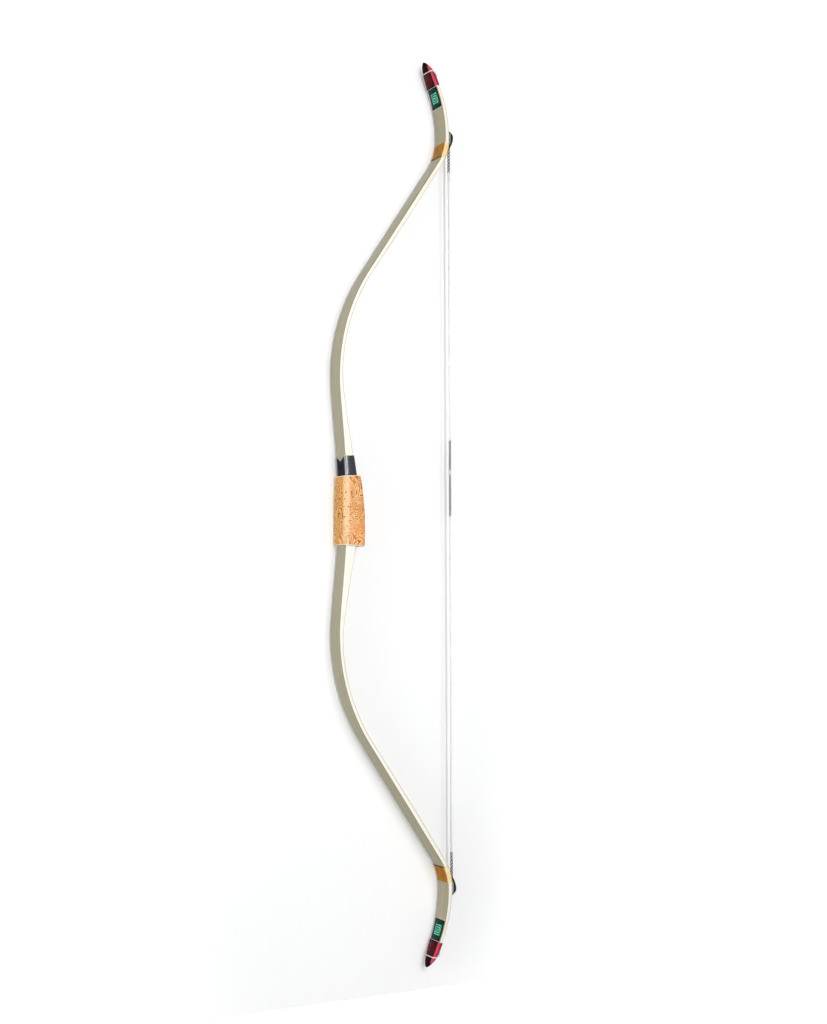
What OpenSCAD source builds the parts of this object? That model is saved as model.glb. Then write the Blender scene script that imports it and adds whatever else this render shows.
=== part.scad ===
// Laminated recurve bow, strung, with stiff ears, string bridges and a sleeved grip.
// Millimetres. Z runs up along the bow, X runs from the back toward the string, and the
// origin is inside the middle of the grip. Stations are lengths along the back face,
// measured from the middle of the bow: plus on the upper limb and minus on the lower one.

/* [Outline of the back] */
// Distance of the origin behind the back face, in the middle of the grip
axis_depth = 10; // [7:0.5:13]
// Length of the handle's gentle curve, from the middle of the bow
handle_run = 83; // [72:1:95]
// Turn of the handle's curve, away from the string
handle_turn = 5.2; // [3:0.1:8]
// Length of the straight throat
throat_run = 79; // [65:1:90]
// Length of the curve that bends
curve_run = 190; // [160:1:220]
// Turn of the curve that bends, toward the string
curve_turn = 38.7; // [33:0.1:43]
// Length of the straight arm
arm_run = 211; // [180:1:240]
// Length of the knee
knee_run = 42; // [34:1:48]
// Turn of the knee, away from the string
knee_turn = 32.4; // [28:0.1:37]
// Length of the ear
ear_run = 75; // [70:1:84]
// Turn of the ear, away from the string
ear_turn = 21.4; // [16:0.1:22.4]
// Length of the straight tip
tip_run = 44.5; // [40:0.5:49]
// Length from the bending curve's far end to the bending axis
hinge_past = 29; // [15:1:60]

/* [Layers] */
// Thickness of the glass on the back
back_glass_t = 1.2; // [0.8:0.1:1.6]
// Thickness of the glass on the belly
belly_glass_t = 1.6; // [0.9:0.1:2]
// Whole thickness of the limb where it is thinnest
thin_t = 6.1; // [5.4:0.1:7]
// Whole thickness of the limb in the middle of the arm
arm_t = 7.8; // [6.8:0.1:9]
// Whole thickness of the ear at the tip
tip_t = 5.8; // [5:0.1:7]
// Thickness of the riser wedge in the handle
wedge_t = 12; // [9:0.1:13.5]
// Station where the wedge starts to thin out, upper limb
fade_up = 28; // [20:1:45]
// Station where the wedge starts to thin out, lower limb
fade_down = 50; // [40:1:60]
// Length over which the wedge thins out
fade_run = 170; // [140:1:190]
// Clearance round the rounded end of the limb core
hinge_gap = 0.3; // [0.2:0.05:0.4]
// Thickness of the glue between a layer, a panel or a block and what it lies on
glue_t = 0.02; // [0.01:0.01:0.05]

/* [Widths] */
// Width of the handle
handle_w = 28; // [26:0.5:33]
// Width of the limb in its bending curve
limb_w = 30; // [27:0.5:34]
// Width of the limb in the middle of the arm
arm_w = 32; // [28:0.5:36]
// Length beyond the throat over which the handle's width runs out
handle_taper = 50; // [30:1:80]
// Width of the ear at its start
ear_w = 31; // [28:0.5:34]
// Narrowing of each side along the ear's first length
ear_narrowing = 1; // [0.5:0.1:2]
// Length before the ear's end where it narrows faster
ear_taper = 26; // [15:1:40]
// Width of the ear at the nock
nock_w = 22; // [19:0.5:25]

/* [Grip] */
// Length of the grip sleeve above the middle of the bow
sleeve_up = 42; // [34:1:50]
// Length of the grip sleeve below the middle of the bow
sleeve_down = 58; // [48:1:66]
// Thickness of the grip sleeve
sleeve_t = 4.5; // [3.6:0.1:5.4]
// Swelling of each side of the sleeve toward its bottom end
side_swell = 2; // [1:0.1:3]
// Swelling of the sleeve's back halfway down
back_swell = 2; // [1:0.1:3]
// Corner radius of the grip sleeve
sleeve_r = 7.5; // [5:0.5:8]
// Depth of the palm swell's front edge at the top end of the sleeve, from the back
swell_top = 18.6; // [18:0.1:20.5]
// Depth of the palm swell's front edge at the bottom end of the sleeve, from the back
swell_bottom = 25.6; // [22.4:0.2:30]
// Height of the arrow pass leather above the sleeve
pass_h = 29; // [20:1:36]
// Thickness of the arrow pass leather
pass_t = 1.2; // [0.8:0.1:1.8]
// Depth of the notch in the leather's top edge, on the back
pass_notch = 7; // [4:0.5:12]

/* [Knee band and bridge] */
// Length from the start of the knee to the band
band_offset = 12; // [8:0.5:16]
// Length of the knee band
band_run = 23; // [16:0.5:26]
// Thickness of the knee band
band_t = 0.5; // [0.3:0.1:0.9]
// Length of the dark line on the back beside the band
binding_run = 1.4; // [0.8:0.1:2.5]
// Length of the string bridge that stands on the band
bridge_on_band = 8.5; // [5:0.5:11]
// Length of the string bridge
bridge_run = 29; // [25:0.5:33]
// Share of the bridge's length where the string leaves its seat
seat_at = 0.65; // [0.58:0.01:0.7]
// Width of the string bridge
bridge_w = 16; // [13:0.5:20]
// Height of the string's seat above the belly
seat_h = 5.2; // [4.7:0.1:5.8]
// Height of the bridge's cheeks above the belly
cheek_h = 10.8; // [9.6:0.1:12.5]
// Thickness of the bridge's leather cover
cover_t = 2.6; // [2:0.1:3]
// Clearance between the string and its seat and cheeks
seat_gap = 0.3; // [0.2:0.05:0.5]

/* [Tip] */
// Length from the nock to the end of the tip
nock_from_end = 16.5; // [14:0.5:19]
// Length of the tip cap below the nock
cap_run = 23.5; // [20:0.5:27]
// Length before the nock where the cap's belly starts to slant toward the back
slant_run = 8; // [6:0.5:9]
// Length from the end of the core and the glass, inside the cap, to the nock
core_short = 6; // [5:0.5:9]
// Thickness of the tip cap's walls
cap_t = 1.1; // [0.9:0.1:1.5]
// Height of the ridge on the cap's back at the nock
ridge_h = 0.5; // [0.5:0.1:1]
// Length of the green panel
panel_run = 32; // [24:1:38]
// Thickness of the panels
panel_t = 0.4; // [0.3:0.1:0.6]
// Width of bare ear on each side of the panels
panel_inset = 0.4; // [0.3:0.1:1.5]
// Length of each pale line at the green panel's ends
line_run = 0.7; // [0.5:0.1:1.2]

/* [String] */
// Diameter of the string
string_d = 3; // [2.4:0.1:3.4]
// Length from the point where the loop's legs part to the tip cap
join_before_cap = 22; // [18:1:28]
// Clearance of the string above the ear's belly where the loop's legs part
join_h = 0.8; // [0.7:0.1:1.4]
// Diameter of the loop's legs
loop_d = 1.6; // [1.4:0.1:2.2]
// Thickness of the black serving
serving_t = 0.5; // [0.3:0.1:0.7]
// Height of the nocking point above the middle of the bow
nocking_z = 50; // [40:1:60]
// Length of the centre serving above the nocking point
serving_up = 52; // [40:1:70]
// Length of the centre serving below the nocking point
serving_down = 62; // [50:1:80]
// Length of the end serving that shows below the bridge
end_serving = 51; // [36:1:70]
// Diameter of the nocking knot
knot_d = 5.6; // [5:0.1:6.4]
// Gap between the nocking point and the knot, half a nock wide
knot_gap = 1.5; // [1:0.1:4]
// Length of the nocking knot
knot_run = 6; // [4:0.5:9]

/* [Hidden] */
$fn = 48;

// Finishes
GLASS = [0.63, 0.61, 0.51];
MAPLE = [0.93, 0.86, 0.70];
AMBER = [0.80, 0.55, 0.22];
BLACK = [0.08, 0.09, 0.10];
GREY = [0.50, 0.52, 0.53];
BURL = [0.93, 0.62, 0.34];
CHERRY = [0.60, 0.10, 0.17];
DEEP_RED = [0.30, 0.04, 0.06];
GREEN = [0.10, 0.55, 0.42];
SILVER = [0.85, 0.85, 0.86];
WHITE = [0.95, 0.95, 0.94];

// The back face: runs of [length, turn toward the string], and the station where each ends
RUNS = [
    [handle_run, -handle_turn], [throat_run, 0], [curve_run, curve_turn], [arm_run, 0],
    [knee_run, -knee_turn], [ear_run, -ear_turn], [tip_run, 0]
];
// How many straight facets each run gets
FACETS = [8, 8, 16, 5, 8, 8, 4];
handle_end = handle_run;
throat_end = handle_end + throat_run;
curve_end = throat_end + curve_run;
arm_end = curve_end + arm_run;
knee_end = arm_end + knee_run;
ear_end = knee_end + ear_run;
bow_end = ear_end + tip_run;
RUN_STARTS = [0, handle_end, throat_end, curve_end, arm_end, knee_end, ear_end];

// Stations of the features on each limb
hinge_s = curve_end + hinge_past;
band_s = arm_end + band_offset;
band_end = band_s + band_run;
splice_s = band_s + band_run / 2;
bridge_s = band_end - bridge_on_band;
bridge_end = bridge_s + bridge_run;
nock_s = bow_end - nock_from_end;
cap_s = nock_s - cap_run;
core_end = nock_s - core_short;
panel_s = cap_s - panel_run;

// Position after a stretch that starts at [x, z, heading] and turns evenly on the way
function stretch_end(from, run, turn) =
    let (x = from[0], z = from[1], h = from[2])
    turn == 0
        ? [x + run * sin(h), z + run * cos(h), h]
        : let (r = run / (turn * PI / 180))
          [x + r * (cos(h) - cos(h + turn)), z + r * (sin(h + turn) - sin(h)), h + turn];

// [x, z, heading] of the back face at a station of the upper limb
function back_face(s, i = 0, from = [-axis_depth, 0, 0]) =
    let (run = RUNS[i][0], turn = RUNS[i][1])
    s <= run || i == len(RUNS) - 1
        ? stretch_end(from, s, turn * s / run)
        : back_face(s - run, i + 1, stretch_end(from, run, turn));

// Point at a depth below the back face
function bow_point(s, depth) =
    let (f = back_face(abs(s)), z = f[1] - depth * sin(f[2]))
    [f[0] + depth * cos(f[2]), s < 0 ? -z : z];

// Thickness of the whole limb, less the wedge, and thickness of the wedge
arm_middle = curve_end + 0.6 * arm_run;
function limb_t(s) = lookup(abs(s), [
    [throat_end, thin_t], [curve_end, (2 * thin_t + arm_t) / 3], [arm_middle, arm_t],
    [knee_end, (2 * arm_t + tip_t) / 3], [ear_end, tip_t]
]);
function wedge_depth(s) =
    let (past = (abs(s) - (s < 0 ? fade_down : fade_up)) / fade_run)
    past <= 0 ? wedge_t : past >= 1 ? 0 : wedge_t * pow(1 - past, 1.5);

// Depth of each face between the layers: back, under the back glass, under the core,
// under the wedge, belly
BACK = 0;
UNDER_GLASS = 1;
UNDER_CORE = 2;
UNDER_WEDGE = 3;
BELLY = 4;
function depth(face, s) =
    face == BACK ? 0
    : face == UNDER_GLASS ? back_glass_t
    : face == UNDER_CORE ? limb_t(s) - belly_glass_t
    : face == UNDER_WEDGE ? limb_t(s) - belly_glass_t + wedge_depth(s)
    : limb_t(s) + wedge_depth(s);

// Stations of the facets' corners, from the lower tip to the upper one
HALF_GRID = [
    0,
    for (i = [0 : len(RUNS) - 1]) for (j = [1 : FACETS[i]])
        RUN_STARTS[i] + RUNS[i][0] * j / FACETS[i]
];
GRID = [
    for (i = [len(HALF_GRID) - 1 : -1 : 1]) -HALF_GRID[i],
    each HALF_GRID
];
function facet_of(s, i = 0) =
    i >= len(GRID) - 2 || GRID[i + 1] > s ? i : facet_of(s, i + 1);

// Point on the facets at a station, at a distance beyond one of the faces
function at(s, face, beyond = 0) =
    let (i = facet_of(s), a = GRID[i], b = GRID[i + 1], part = (s - a) / (b - a))
    bow_point(a, depth(face, a) + beyond) * (1 - part)
    + bow_point(b, depth(face, b) + beyond) * part;

// Stations from one to another with the facets' corners between
function between(a, b) = [a, for (s = GRID) if (s > a + 0.01 && s < b - 0.01) s, b];

// Outline in side view between two faces, each moved by its own distance
function layer(a, b, face_1, beyond_1, face_2, beyond_2) =
    let (list = between(a, b))
    concat(
        [for (s = list) at(s, face_1, beyond_1)],
        [for (i = [len(list) - 1 : -1 : 0]) at(list[i], face_2, beyond_2)]
    );

// Half width at a station
WIDTHS = [
    [0, handle_w / 2], [handle_end, handle_w / 2], [throat_end + handle_taper, limb_w / 2],
    [curve_end, limb_w / 2], [arm_middle, arm_w / 2], [knee_end, ear_w / 2],
    [ear_end - ear_taper, ear_w / 2 - ear_narrowing], [cap_s, (ear_w + nock_w) / 4],
    [nock_s, nock_w / 2]
];
function half_w(s) = lookup(abs(s), WIDTHS);

// Side-view outline given a width along Y
module slab(outline, width) {
    rotate([90, 0, 0]) linear_extrude(width, center = true) polygon(outline);
}

// Front-view outline of the bow, grown sideways, through the whole depth
module planform(grow = 0) {
    stations = [for (w = WIDTHS) w[0]];
    last = len(stations) - 1;
    upper = [for (i = [0 : last]) [half_w(stations[i]) + grow, back_face(stations[i])[1]]];
    side = concat([for (i = [last : -1 : 1]) [upper[i][0], -upper[i][1]]], upper);
    count = len(side);
    far_x = 2 * bow_end;
    translate([-far_x / 2, 0, 0])
        rotate([90, 0, 90])
            linear_extrude(far_x)
                polygon(concat(side, [for (i = [count - 1 : -1 : 0]) [-side[i][0], side[i][1]]]));
}

// How far a cut runs past what it cuts
cut_past = 5;

// A layer of the bow between two stations and two faces, each moved by its own distance
module bow_layer(a, b, face_1, face_2, beyond_1 = 0, beyond_2 = 0) {
    intersection() {
        slab(layer(a, b, face_1, beyond_1, face_2, beyond_2), 2 * handle_w);
        planform();
    }
}

// The glass strips, each glued to the wood under it
module back_glass(a, b) {
    color(GLASS) bow_layer(a, b, BACK, UNDER_GLASS, 0, -glue_t);
}
module belly_glass(a, b) {
    color(GLASS) bow_layer(a, b, UNDER_WEDGE, BELLY, glue_t, 0);
}

// All the layers together, as what is wrapped round them sees them
module stack(a, b) {
    bow_layer(a, b, BACK, BELLY);
}

// A wrap of even thickness round all the layers
module wrap(a, b, thickness) {
    difference() {
        intersection() {
            slab(layer(a, b, BACK, -thickness, BELLY, thickness), 2 * handle_w);
            planform(thickness);
        }
        stack(a - cut_past, b + cut_past);
    }
}

// Closed ring of a rounded rectangle square to the bow at a station, as 3-D points.
// edges are its depths [back, belly], half its width and its corner radii [back, belly]
ARC_STEPS = 6;
function corner(depth_c, y_c, r, start) = [
    for (i = [0 : ARC_STEPS])
        let (a = start + 90 * i / ARC_STEPS)
        [depth_c + r * cos(a), y_c + r * sin(a)]
];
function ring(s, depth_1, depth_2, half, r_back, r_belly) =
    let (
        flat = concat(
            corner(depth_2 - r_belly, half - r_belly, r_belly, 0),
            corner(depth_1 + r_back, half - r_back, r_back, 90),
            corner(depth_1 + r_back, r_back - half, r_back, 180),
            corner(depth_2 - r_belly, r_belly - half, r_belly, 270)
        )
    )
    [for (p = flat) let (q = at(s, BACK, p[0])) [q[0], p[1], q[1]]];

// Skin over rings of equal count, closed at both ends
module skin(rings) {
    n = len(rings[0]);
    last = len(rings) - 1;
    points = [for (r = rings) each r];
    sides = [
        for (i = [0 : last - 1]) for (j = [0 : n - 1])
            let (a = i * n + j, b = i * n + (j + 1) % n)
            each [[a, a + n, b + n], [a, b + n, b]]
    ];
    bottom = [for (j = [0 : n - 1]) j];
    top = [for (j = [n - 1 : -1 : 0]) last * n + j];
    polyhedron(points, concat(sides, [bottom, top]));
}

// Round tube swept along points, open path with flat ends
function unit(v) = v / norm(v);
function tangent(path, i) =
    unit(path[min(i + 1, len(path) - 1)] - path[max(i - 1, 0)]);
module strand(path, r, sides) {
    rings = [
        for (i = [0 : len(path) - 1])
            let (
                t = tangent(path, i),
                u = unit(cross(t, abs(t[1]) < 0.9 ? [0, 1, 0] : [1, 0, 0.35])),
                v = cross(t, u)
            )
            [for (j = [0 : sides - 1]) let (a = 360 * j / sides) path[i] + r * (u * cos(a) + v * sin(a))]
    ];
    skin(rings);
}

// The other limb's copy of a piece
module flipped() {
    mirror([0, 0, 1]) children();
}

// The handle

module riser_wedge() {
    list = [for (s = GRID) if (wedge_depth(s) > 0) s];
    first = facet_of(list[0]) - 1;
    last = facet_of(list[len(list) - 1]) + 1;
    stations = [for (i = [first : last]) GRID[i]];
    outline = concat(
        [for (s = stations) at(s, UNDER_CORE)],
        [for (i = [len(stations) - 2 : -1 : 1]) at(stations[i], UNDER_WEDGE)]
    );
    color(MAPLE)
        intersection() {
            slab(outline, 2 * handle_w);
            planform();
        }
}

// The bending axis of a limb runs along Y through the middle of its core
hinge_r = (limb_t(hinge_s) - back_glass_t - belly_glass_t) / 2;
hinge_at = at(hinge_s, UNDER_GLASS, hinge_r);

module hinge_round(r, width) {
    translate([hinge_at[0], 0, hinge_at[1]])
        rotate([90, 0, 0]) cylinder(r = r, h = width, center = true);
}

module handle_lamination() {
    color(MAPLE)
        difference() {
            bow_layer(-hinge_s, hinge_s, UNDER_GLASS, UNDER_CORE);
            hinge_round(hinge_r + hinge_gap, 2 * handle_w);
            flipped() hinge_round(hinge_r + hinge_gap, 2 * handle_w);
        }
}

// Share of the way down the sleeve, and the swelling there: it grows fast below the top end
// and then runs out
function way_down(s) = (sleeve_up - s) / (sleeve_up + sleeve_down);
function swelling(s) = pow(sin(90 * way_down(s)), 0.75);
function swell_depth(s) = swell_top + (swell_bottom - swell_top) * swelling(s);

swell_r = 6;
module palm_swell() {
    rings = [
        for (s = between(-sleeve_down, sleeve_up))
            let (
                base = depth(BELLY, s),
                r = min(swell_r, swell_depth(s) - base - 0.05),
                half = half_w(s),
                front = swell_depth(s),
                flat = concat(
                    corner(front - r, half - r, r, 0),
                    [[base, half], [base, -half]],
                    corner(front - r, r - half, r, 270)
                )
            )
            [for (p = flat) let (q = at(s, BELLY, p[0] - base)) [q[0], p[1], q[1]]]
    ];
    color(MAPLE) skin(rings);
}

module grip_sleeve() {
    rings = [
        for (s = between(-sleeve_down, sleeve_up))
            ring(s, -sleeve_t - back_swell * sin(180 * way_down(s)), swell_depth(s) + sleeve_t,
                handle_w / 2 + sleeve_t + side_swell * swelling(s), sleeve_r, sleeve_r)
    ];
    color(BURL)
        difference() {
            skin(rings);
            stack(-sleeve_down - cut_past, sleeve_up + cut_past);
            palm_swell();
        }
}

pass_r = 3;
module arrow_pass_leather() {
    top = sleeve_up + pass_h;
    rings = [
        for (s = between(sleeve_up, top))
            ring(s, -pass_t, depth(BELLY, s) + pass_t, half_w(s) + pass_t, pass_r, pass_r)
    ];
    top_z = at(top, BACK)[1];
    notch_half = handle_w / 2 - 1;
    color(BLACK)
        difference() {
            skin(rings);
            stack(sleeve_up - cut_past, top + cut_past);
            // Swallow-tail notch across the back
            translate([-axis_depth - handle_w, 0, top_z])
                rotate([90, 0, 90])
                    linear_extrude(handle_w)
                        polygon([[-notch_half, 2], [-notch_half, 0], [0, -pass_notch],
                            [notch_half, 0], [notch_half, 2]]);
        }
}

// One limb, drawn as the upper one

module limb_core() {
    color(MAPLE)
        intersection() {
            union() {
                slab(layer(hinge_s, splice_s, UNDER_GLASS, 0, UNDER_CORE, 0), 2 * handle_w);
                hinge_round(hinge_r, 2 * handle_w);
            }
            planform();
        }
}

module ear_core() {
    color(MAPLE) bow_layer(splice_s, core_end, UNDER_GLASS, UNDER_CORE);
}

module knee_band() {
    color(AMBER) wrap(band_s, band_end, band_t);
}

// A strip on the back between two stations, glued on at a distance from the back face
module strip(a, b, thickness, above = 0, inset = 0) {
    intersection() {
        slab(layer(a, b, BACK, -above - thickness, BACK, -above - glue_t), 2 * handle_w);
        planform(-inset);
    }
}

// A few turns of dark thread laid across the back at the band's edge
module knee_binding() {
    color(BLACK) strip(band_s - binding_run, band_s, band_t);
}

module green_panel() {
    color(GREEN) strip(panel_s + line_run, cap_s - line_run, panel_t, 0, panel_inset);
}

module panel_lines() {
    color(SILVER) {
        strip(panel_s, panel_s + line_run, panel_t, 0, panel_inset);
        strip(cap_s - line_run, cap_s, panel_t, 0, panel_inset);
    }
}

// The red panel lies on the back of the cap and ends at the ridge before the nock
ridge_run = 1;
red_end = nock_s - loop_d / 2 - seat_gap - ridge_run;

module red_panel() {
    color(DEEP_RED) strip(cap_s, red_end, panel_t, cap_t, panel_inset);
}

// The tip cap: a sleeve over the ear's end that closes in a beak. Its back stays straight,
// its belly slants toward the back and its sides round in
slant_s = nock_s - slant_run;
beak_out = 1.2;
beak_blunt = 2;
NOSE = [0, 0.15, 0.3, 0.45, 0.6, 0.73, 0.84, 0.92, 0.975];
function nose_part(s) = max(0, s - nock_s) / nock_from_end;
function cap_back(s) =
    let (rise = cap_t + ridge_h)
    s < nock_s
        ? lookup(s, [[red_end, cap_t], [red_end + ridge_run / 2, rise]])
        : rise + (beak_out - rise) * pow(nose_part(s), 4);
function cap_belly(s) =
    let (
        v = max(0, s - slant_s) / (bow_end - slant_s),
        slanting = tip_t + cap_t + beak_out - beak_blunt
    )
    slanting * (1 - pow(v, 1.15)) + beak_blunt * pow(1 - pow(v, 2.3), 1 / 2.3) - beak_out;
function cap_half(s) =
    cap_t + lookup(s, [[cap_s, half_w(cap_s)], [nock_s, half_w(nock_s)]]);
module tip_cap() {
    stations = [
        cap_s, slant_s, (slant_s + red_end) / 2, red_end, red_end + ridge_run / 2,
        for (u = NOSE) nock_s + nock_from_end * u
    ];
    rings = [
        for (s = stations)
            let (
                deep = cap_belly(s) + cap_back(s),
                half = cap_half(s) * pow(1 - pow(nose_part(s), 1.6), 1 / 1.4)
            )
            ring(s, -cap_back(s), cap_belly(s), half,
                min(2 + nose_part(s), 0.45 * deep), min(3, 0.45 * deep))
    ];
    groove = at(nock_s, BACK, -cap_back(nock_s));
    color(CHERRY)
        difference() {
            skin(rings);
            stack(cap_s - cut_past, core_end);
            translate([groove[0], 0, groove[1]])
                rotate([90, 0, 0])
                    cylinder(d = loop_d + 2 * seat_gap, h = 2 * handle_w, center = true);
        }
}

// The string's route on the upper limb, seen from the side as [x, z]
seat_s = bridge_s + seat_at * bridge_run;
serving_r = string_d / 2 + serving_t;
seat_belly = at(seat_s, BELLY);
string_x = seat_belly[0] + seat_h + seat_gap + serving_r;
BEND = [string_x, seat_belly[1]];
join_s = cap_s - join_before_cap;
JOIN = at(join_s, BELLY, string_d / 2 + join_h);
ALONG = unit(BEND - JOIN);
bend_angle = acos(-ALONG[1]);
NOCK = at(nock_s, BACK, -cap_back(nock_s));

// The string leaves its seat straight down and runs along ALONG to the loop
module seat_cut() {
    room = serving_r + seat_gap;
    away = [-ALONG[1], ALONG[0]];
    low = [BEND[0] - room, BEND[1] - bridge_run];
    turn = BEND - [room, room * tan(bend_angle / 2)];
    high = BEND - ALONG * 2 * bridge_run - away * room;
    slab([low, turn, high, high + [cheek_h * 3, 0], low + [cheek_h * 3, 0]],
        2 * room);
}

// Cheek outline: rises slowly from the arm's side and drops steeply toward the ear
function cheek(t) =
    let (peak = seat_at + 0.04)
    t < peak ? 0.3 + 0.7 * sin(90 * t / peak)
             : pow(max(0, cos(90 * (t - peak) / (1 - peak))), 0.6);
CHEEK_STEPS = 18;
function cheek_edge(height) = [
    for (i = [0 : CHEEK_STEPS])
        let (t = i / CHEEK_STEPS)
        at(bridge_s + bridge_run * t, BELLY, height * cheek(t))
];

// The block stands partly on the band and partly on the bare belly
module string_bridge() {
    foot = concat(
        [for (s = between(bridge_s, band_end + glue_t)) at(s, BELLY, band_t + glue_t)],
        [for (s = between(band_end + glue_t, bridge_end)) at(s, BELLY, glue_t)]
    );
    base = [for (i = [len(foot) - 1 : -1 : 0]) foot[i]];
    edge = cheek_edge(cheek_h - cover_t - glue_t);
    color(GREY)
        difference() {
            slab(concat([for (i = [0 : CHEEK_STEPS - 1]) edge[i]], base), bridge_w);
            seat_cut();
        }
}

module bridge_cover() {
    outer = cheek_edge(cheek_h);
    inner = cheek_edge(cheek_h - cover_t);
    outline = concat(
        [for (i = [0 : CHEEK_STEPS]) outer[i]],
        [for (i = [CHEEK_STEPS - 1 : -1 : 0]) inner[i]]
    );
    color(BLACK)
        difference() {
            slab(outline, bridge_w);
            seat_cut();
        }
}

// A round bar along the string's route, from one point to another in side view
module bar(from, to, d, bore = 0) {
    way = to - from;
    translate([from[0], 0, from[1]])
        rotate([0, atan2(way[0], way[1]), 0])
            difference() {
                cylinder(d = d, h = norm(way));
                if (bore > 0)
                    translate([0, 0, -1]) cylinder(d = bore, h = norm(way) + 2);
            }
}
// Gap between each stretch of the string and the point where it meets the next one
meet_gap = 0.15;
bend_room = serving_r * tan(bend_angle / 2) + meet_gap;
bore_gap = 0.1;

// The loop's legs leave the join side by side, part along the ear's belly, turn round the
// cap's edges just below the nock and meet in the groove across its back
function spot(s, face, beyond, y) = let (p = at(s, face, beyond)) [p[0], y, p[1]];
module nock_loop() {
    r = loop_d / 2;
    clear = r + seat_gap;
    over = cap_t + clear;
    start = [JOIN[0], r + 0.1, JOIN[1]];
    toward_tip = [-ALONG[0], 0, -ALONG[1]];
    leg = [
        start,
        start + toward_tip * loop_d,
        spot(cap_s - 12, BELLY, over - 0.4, 2.2),
        spot(cap_s - 2, BELLY, over, 4.4),
        spot(cap_s + 7, BELLY, over, 6.6),
        spot(slant_s - 3, BELLY, over, 8.8),
        spot(nock_s - 6, BELLY, over, cap_half(nock_s - 6) - 2),
        spot(nock_s - 3.6, BELLY, over - 1, cap_half(nock_s - 3.6) + clear - 0.8),
        spot(nock_s - 2.2, BELLY, -1.2, cap_half(nock_s - 2.2) + clear),
        spot(nock_s - 0.8, BACK, 0.9, cap_half(nock_s - 0.8) + clear),
        spot(nock_s - 0.2, BACK, -1, cap_half(nock_s) + clear - 0.4),
        spot(nock_s, BACK, -cap_back(nock_s), cap_half(nock_s) + clear - 1.8)
    ];
    last = len(leg) - 1;
    other = [for (i = [last : -1 : 0]) [leg[i][0], -leg[i][1], leg[i][2]]];
    color(WHITE) strand(concat(leg, [[NOCK[0], 0, NOCK[1]]], other), r, 8);
}

module end_strand() {
    color(WHITE) bar(JOIN + ALONG * 0.1, BEND - ALONG * bend_room, string_d);
}

// The string below the upper bridge or above the lower one
module half_string(reach) {
    color(WHITE)
        bar([string_x, BEND[1] - bend_room], [string_x, BEND[1] - reach + meet_gap], string_d);
}

module serving(from_bend, run) {
    top = [string_x, BEND[1] - from_bend];
    color(BLACK)
        bar(top, top - [0, run], string_d + 2 * serving_t, string_d + bore_gap);
}

upper_reach = BEND[1] - nocking_z;
lower_reach = BEND[1] + nocking_z;

module upper_limb_core() { limb_core(); }
module upper_ear_core() { ear_core(); }
module upper_back_glass() { back_glass(0, core_end); }
module upper_belly_glass() { belly_glass(0, core_end); }
module upper_knee_band() { knee_band(); }
module upper_knee_binding() { knee_binding(); }
module upper_string_bridge() { string_bridge(); }
module upper_bridge_cover() { bridge_cover(); }
module upper_tip_cap() { tip_cap(); }
module upper_green_panel() { green_panel(); }
module upper_red_panel() { red_panel(); }
module upper_panel_lines() { panel_lines(); }

module lower_limb_core() { flipped() limb_core(); }
module lower_ear_core() { flipped() ear_core(); }
module lower_back_glass() { back_glass(-core_end, 0); }
module lower_belly_glass() { belly_glass(-core_end, 0); }
module lower_knee_band() { flipped() knee_band(); }
module lower_knee_binding() { flipped() knee_binding(); }
module lower_string_bridge() { flipped() string_bridge(); }
module lower_bridge_cover() { flipped() bridge_cover(); }
module lower_tip_cap() { flipped() tip_cap(); }
module lower_green_panel() { flipped() green_panel(); }
module lower_red_panel() { flipped() red_panel(); }
module lower_panel_lines() { flipped() panel_lines(); }

module upper_nock_loop() { nock_loop(); }
module upper_end_strand() { end_strand(); }
module upper_string() { half_string(upper_reach); }
module upper_end_serving() { serving(bend_room, end_serving); }
module upper_centre_serving() { serving(upper_reach - serving_up, serving_up - meet_gap); }

module nocking_knot() {
    low = [string_x, nocking_z + knot_gap];
    color(WHITE)
        bar(low, low + [0, knot_run], knot_d, 2 * serving_r + bore_gap);
}

module lower_nock_loop() { flipped() nock_loop(); }
module lower_end_strand() { flipped() end_strand(); }
module lower_string() { flipped() half_string(lower_reach); }
module lower_end_serving() { flipped() serving(bend_room, end_serving); }
module lower_centre_serving() {
    flipped() serving(lower_reach - serving_down, serving_down - meet_gap);
}

riser_wedge();
handle_lamination();
palm_swell();
grip_sleeve();
arrow_pass_leather();
upper_limb_core();
upper_ear_core();
upper_back_glass();
upper_belly_glass();
upper_knee_band();
upper_knee_binding();
upper_string_bridge();
upper_bridge_cover();
upper_tip_cap();
upper_green_panel();
upper_red_panel();
upper_panel_lines();
lower_limb_core();
lower_ear_core();
lower_back_glass();
lower_belly_glass();
lower_knee_band();
lower_knee_binding();
lower_string_bridge();
lower_bridge_cover();
lower_tip_cap();
lower_green_panel();
lower_red_panel();
lower_panel_lines();
upper_nock_loop();
upper_end_strand();
upper_string();
upper_end_serving();
upper_centre_serving();
nocking_knot();
lower_nock_loop();
lower_end_strand();
lower_string();
lower_end_serving();
lower_centre_serving();
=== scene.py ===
"""A strung, laminated recurve bow: the looks of every piece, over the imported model.

Metres, in the model's own frame: Z runs up along the bow, X from its back toward the string.
A station is a length along the back face from the middle of the grip, plus on the upper limb
and minus on the lower one. A depth is measured from the back face toward the string.
"""
import math
from functools import cached_property

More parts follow.
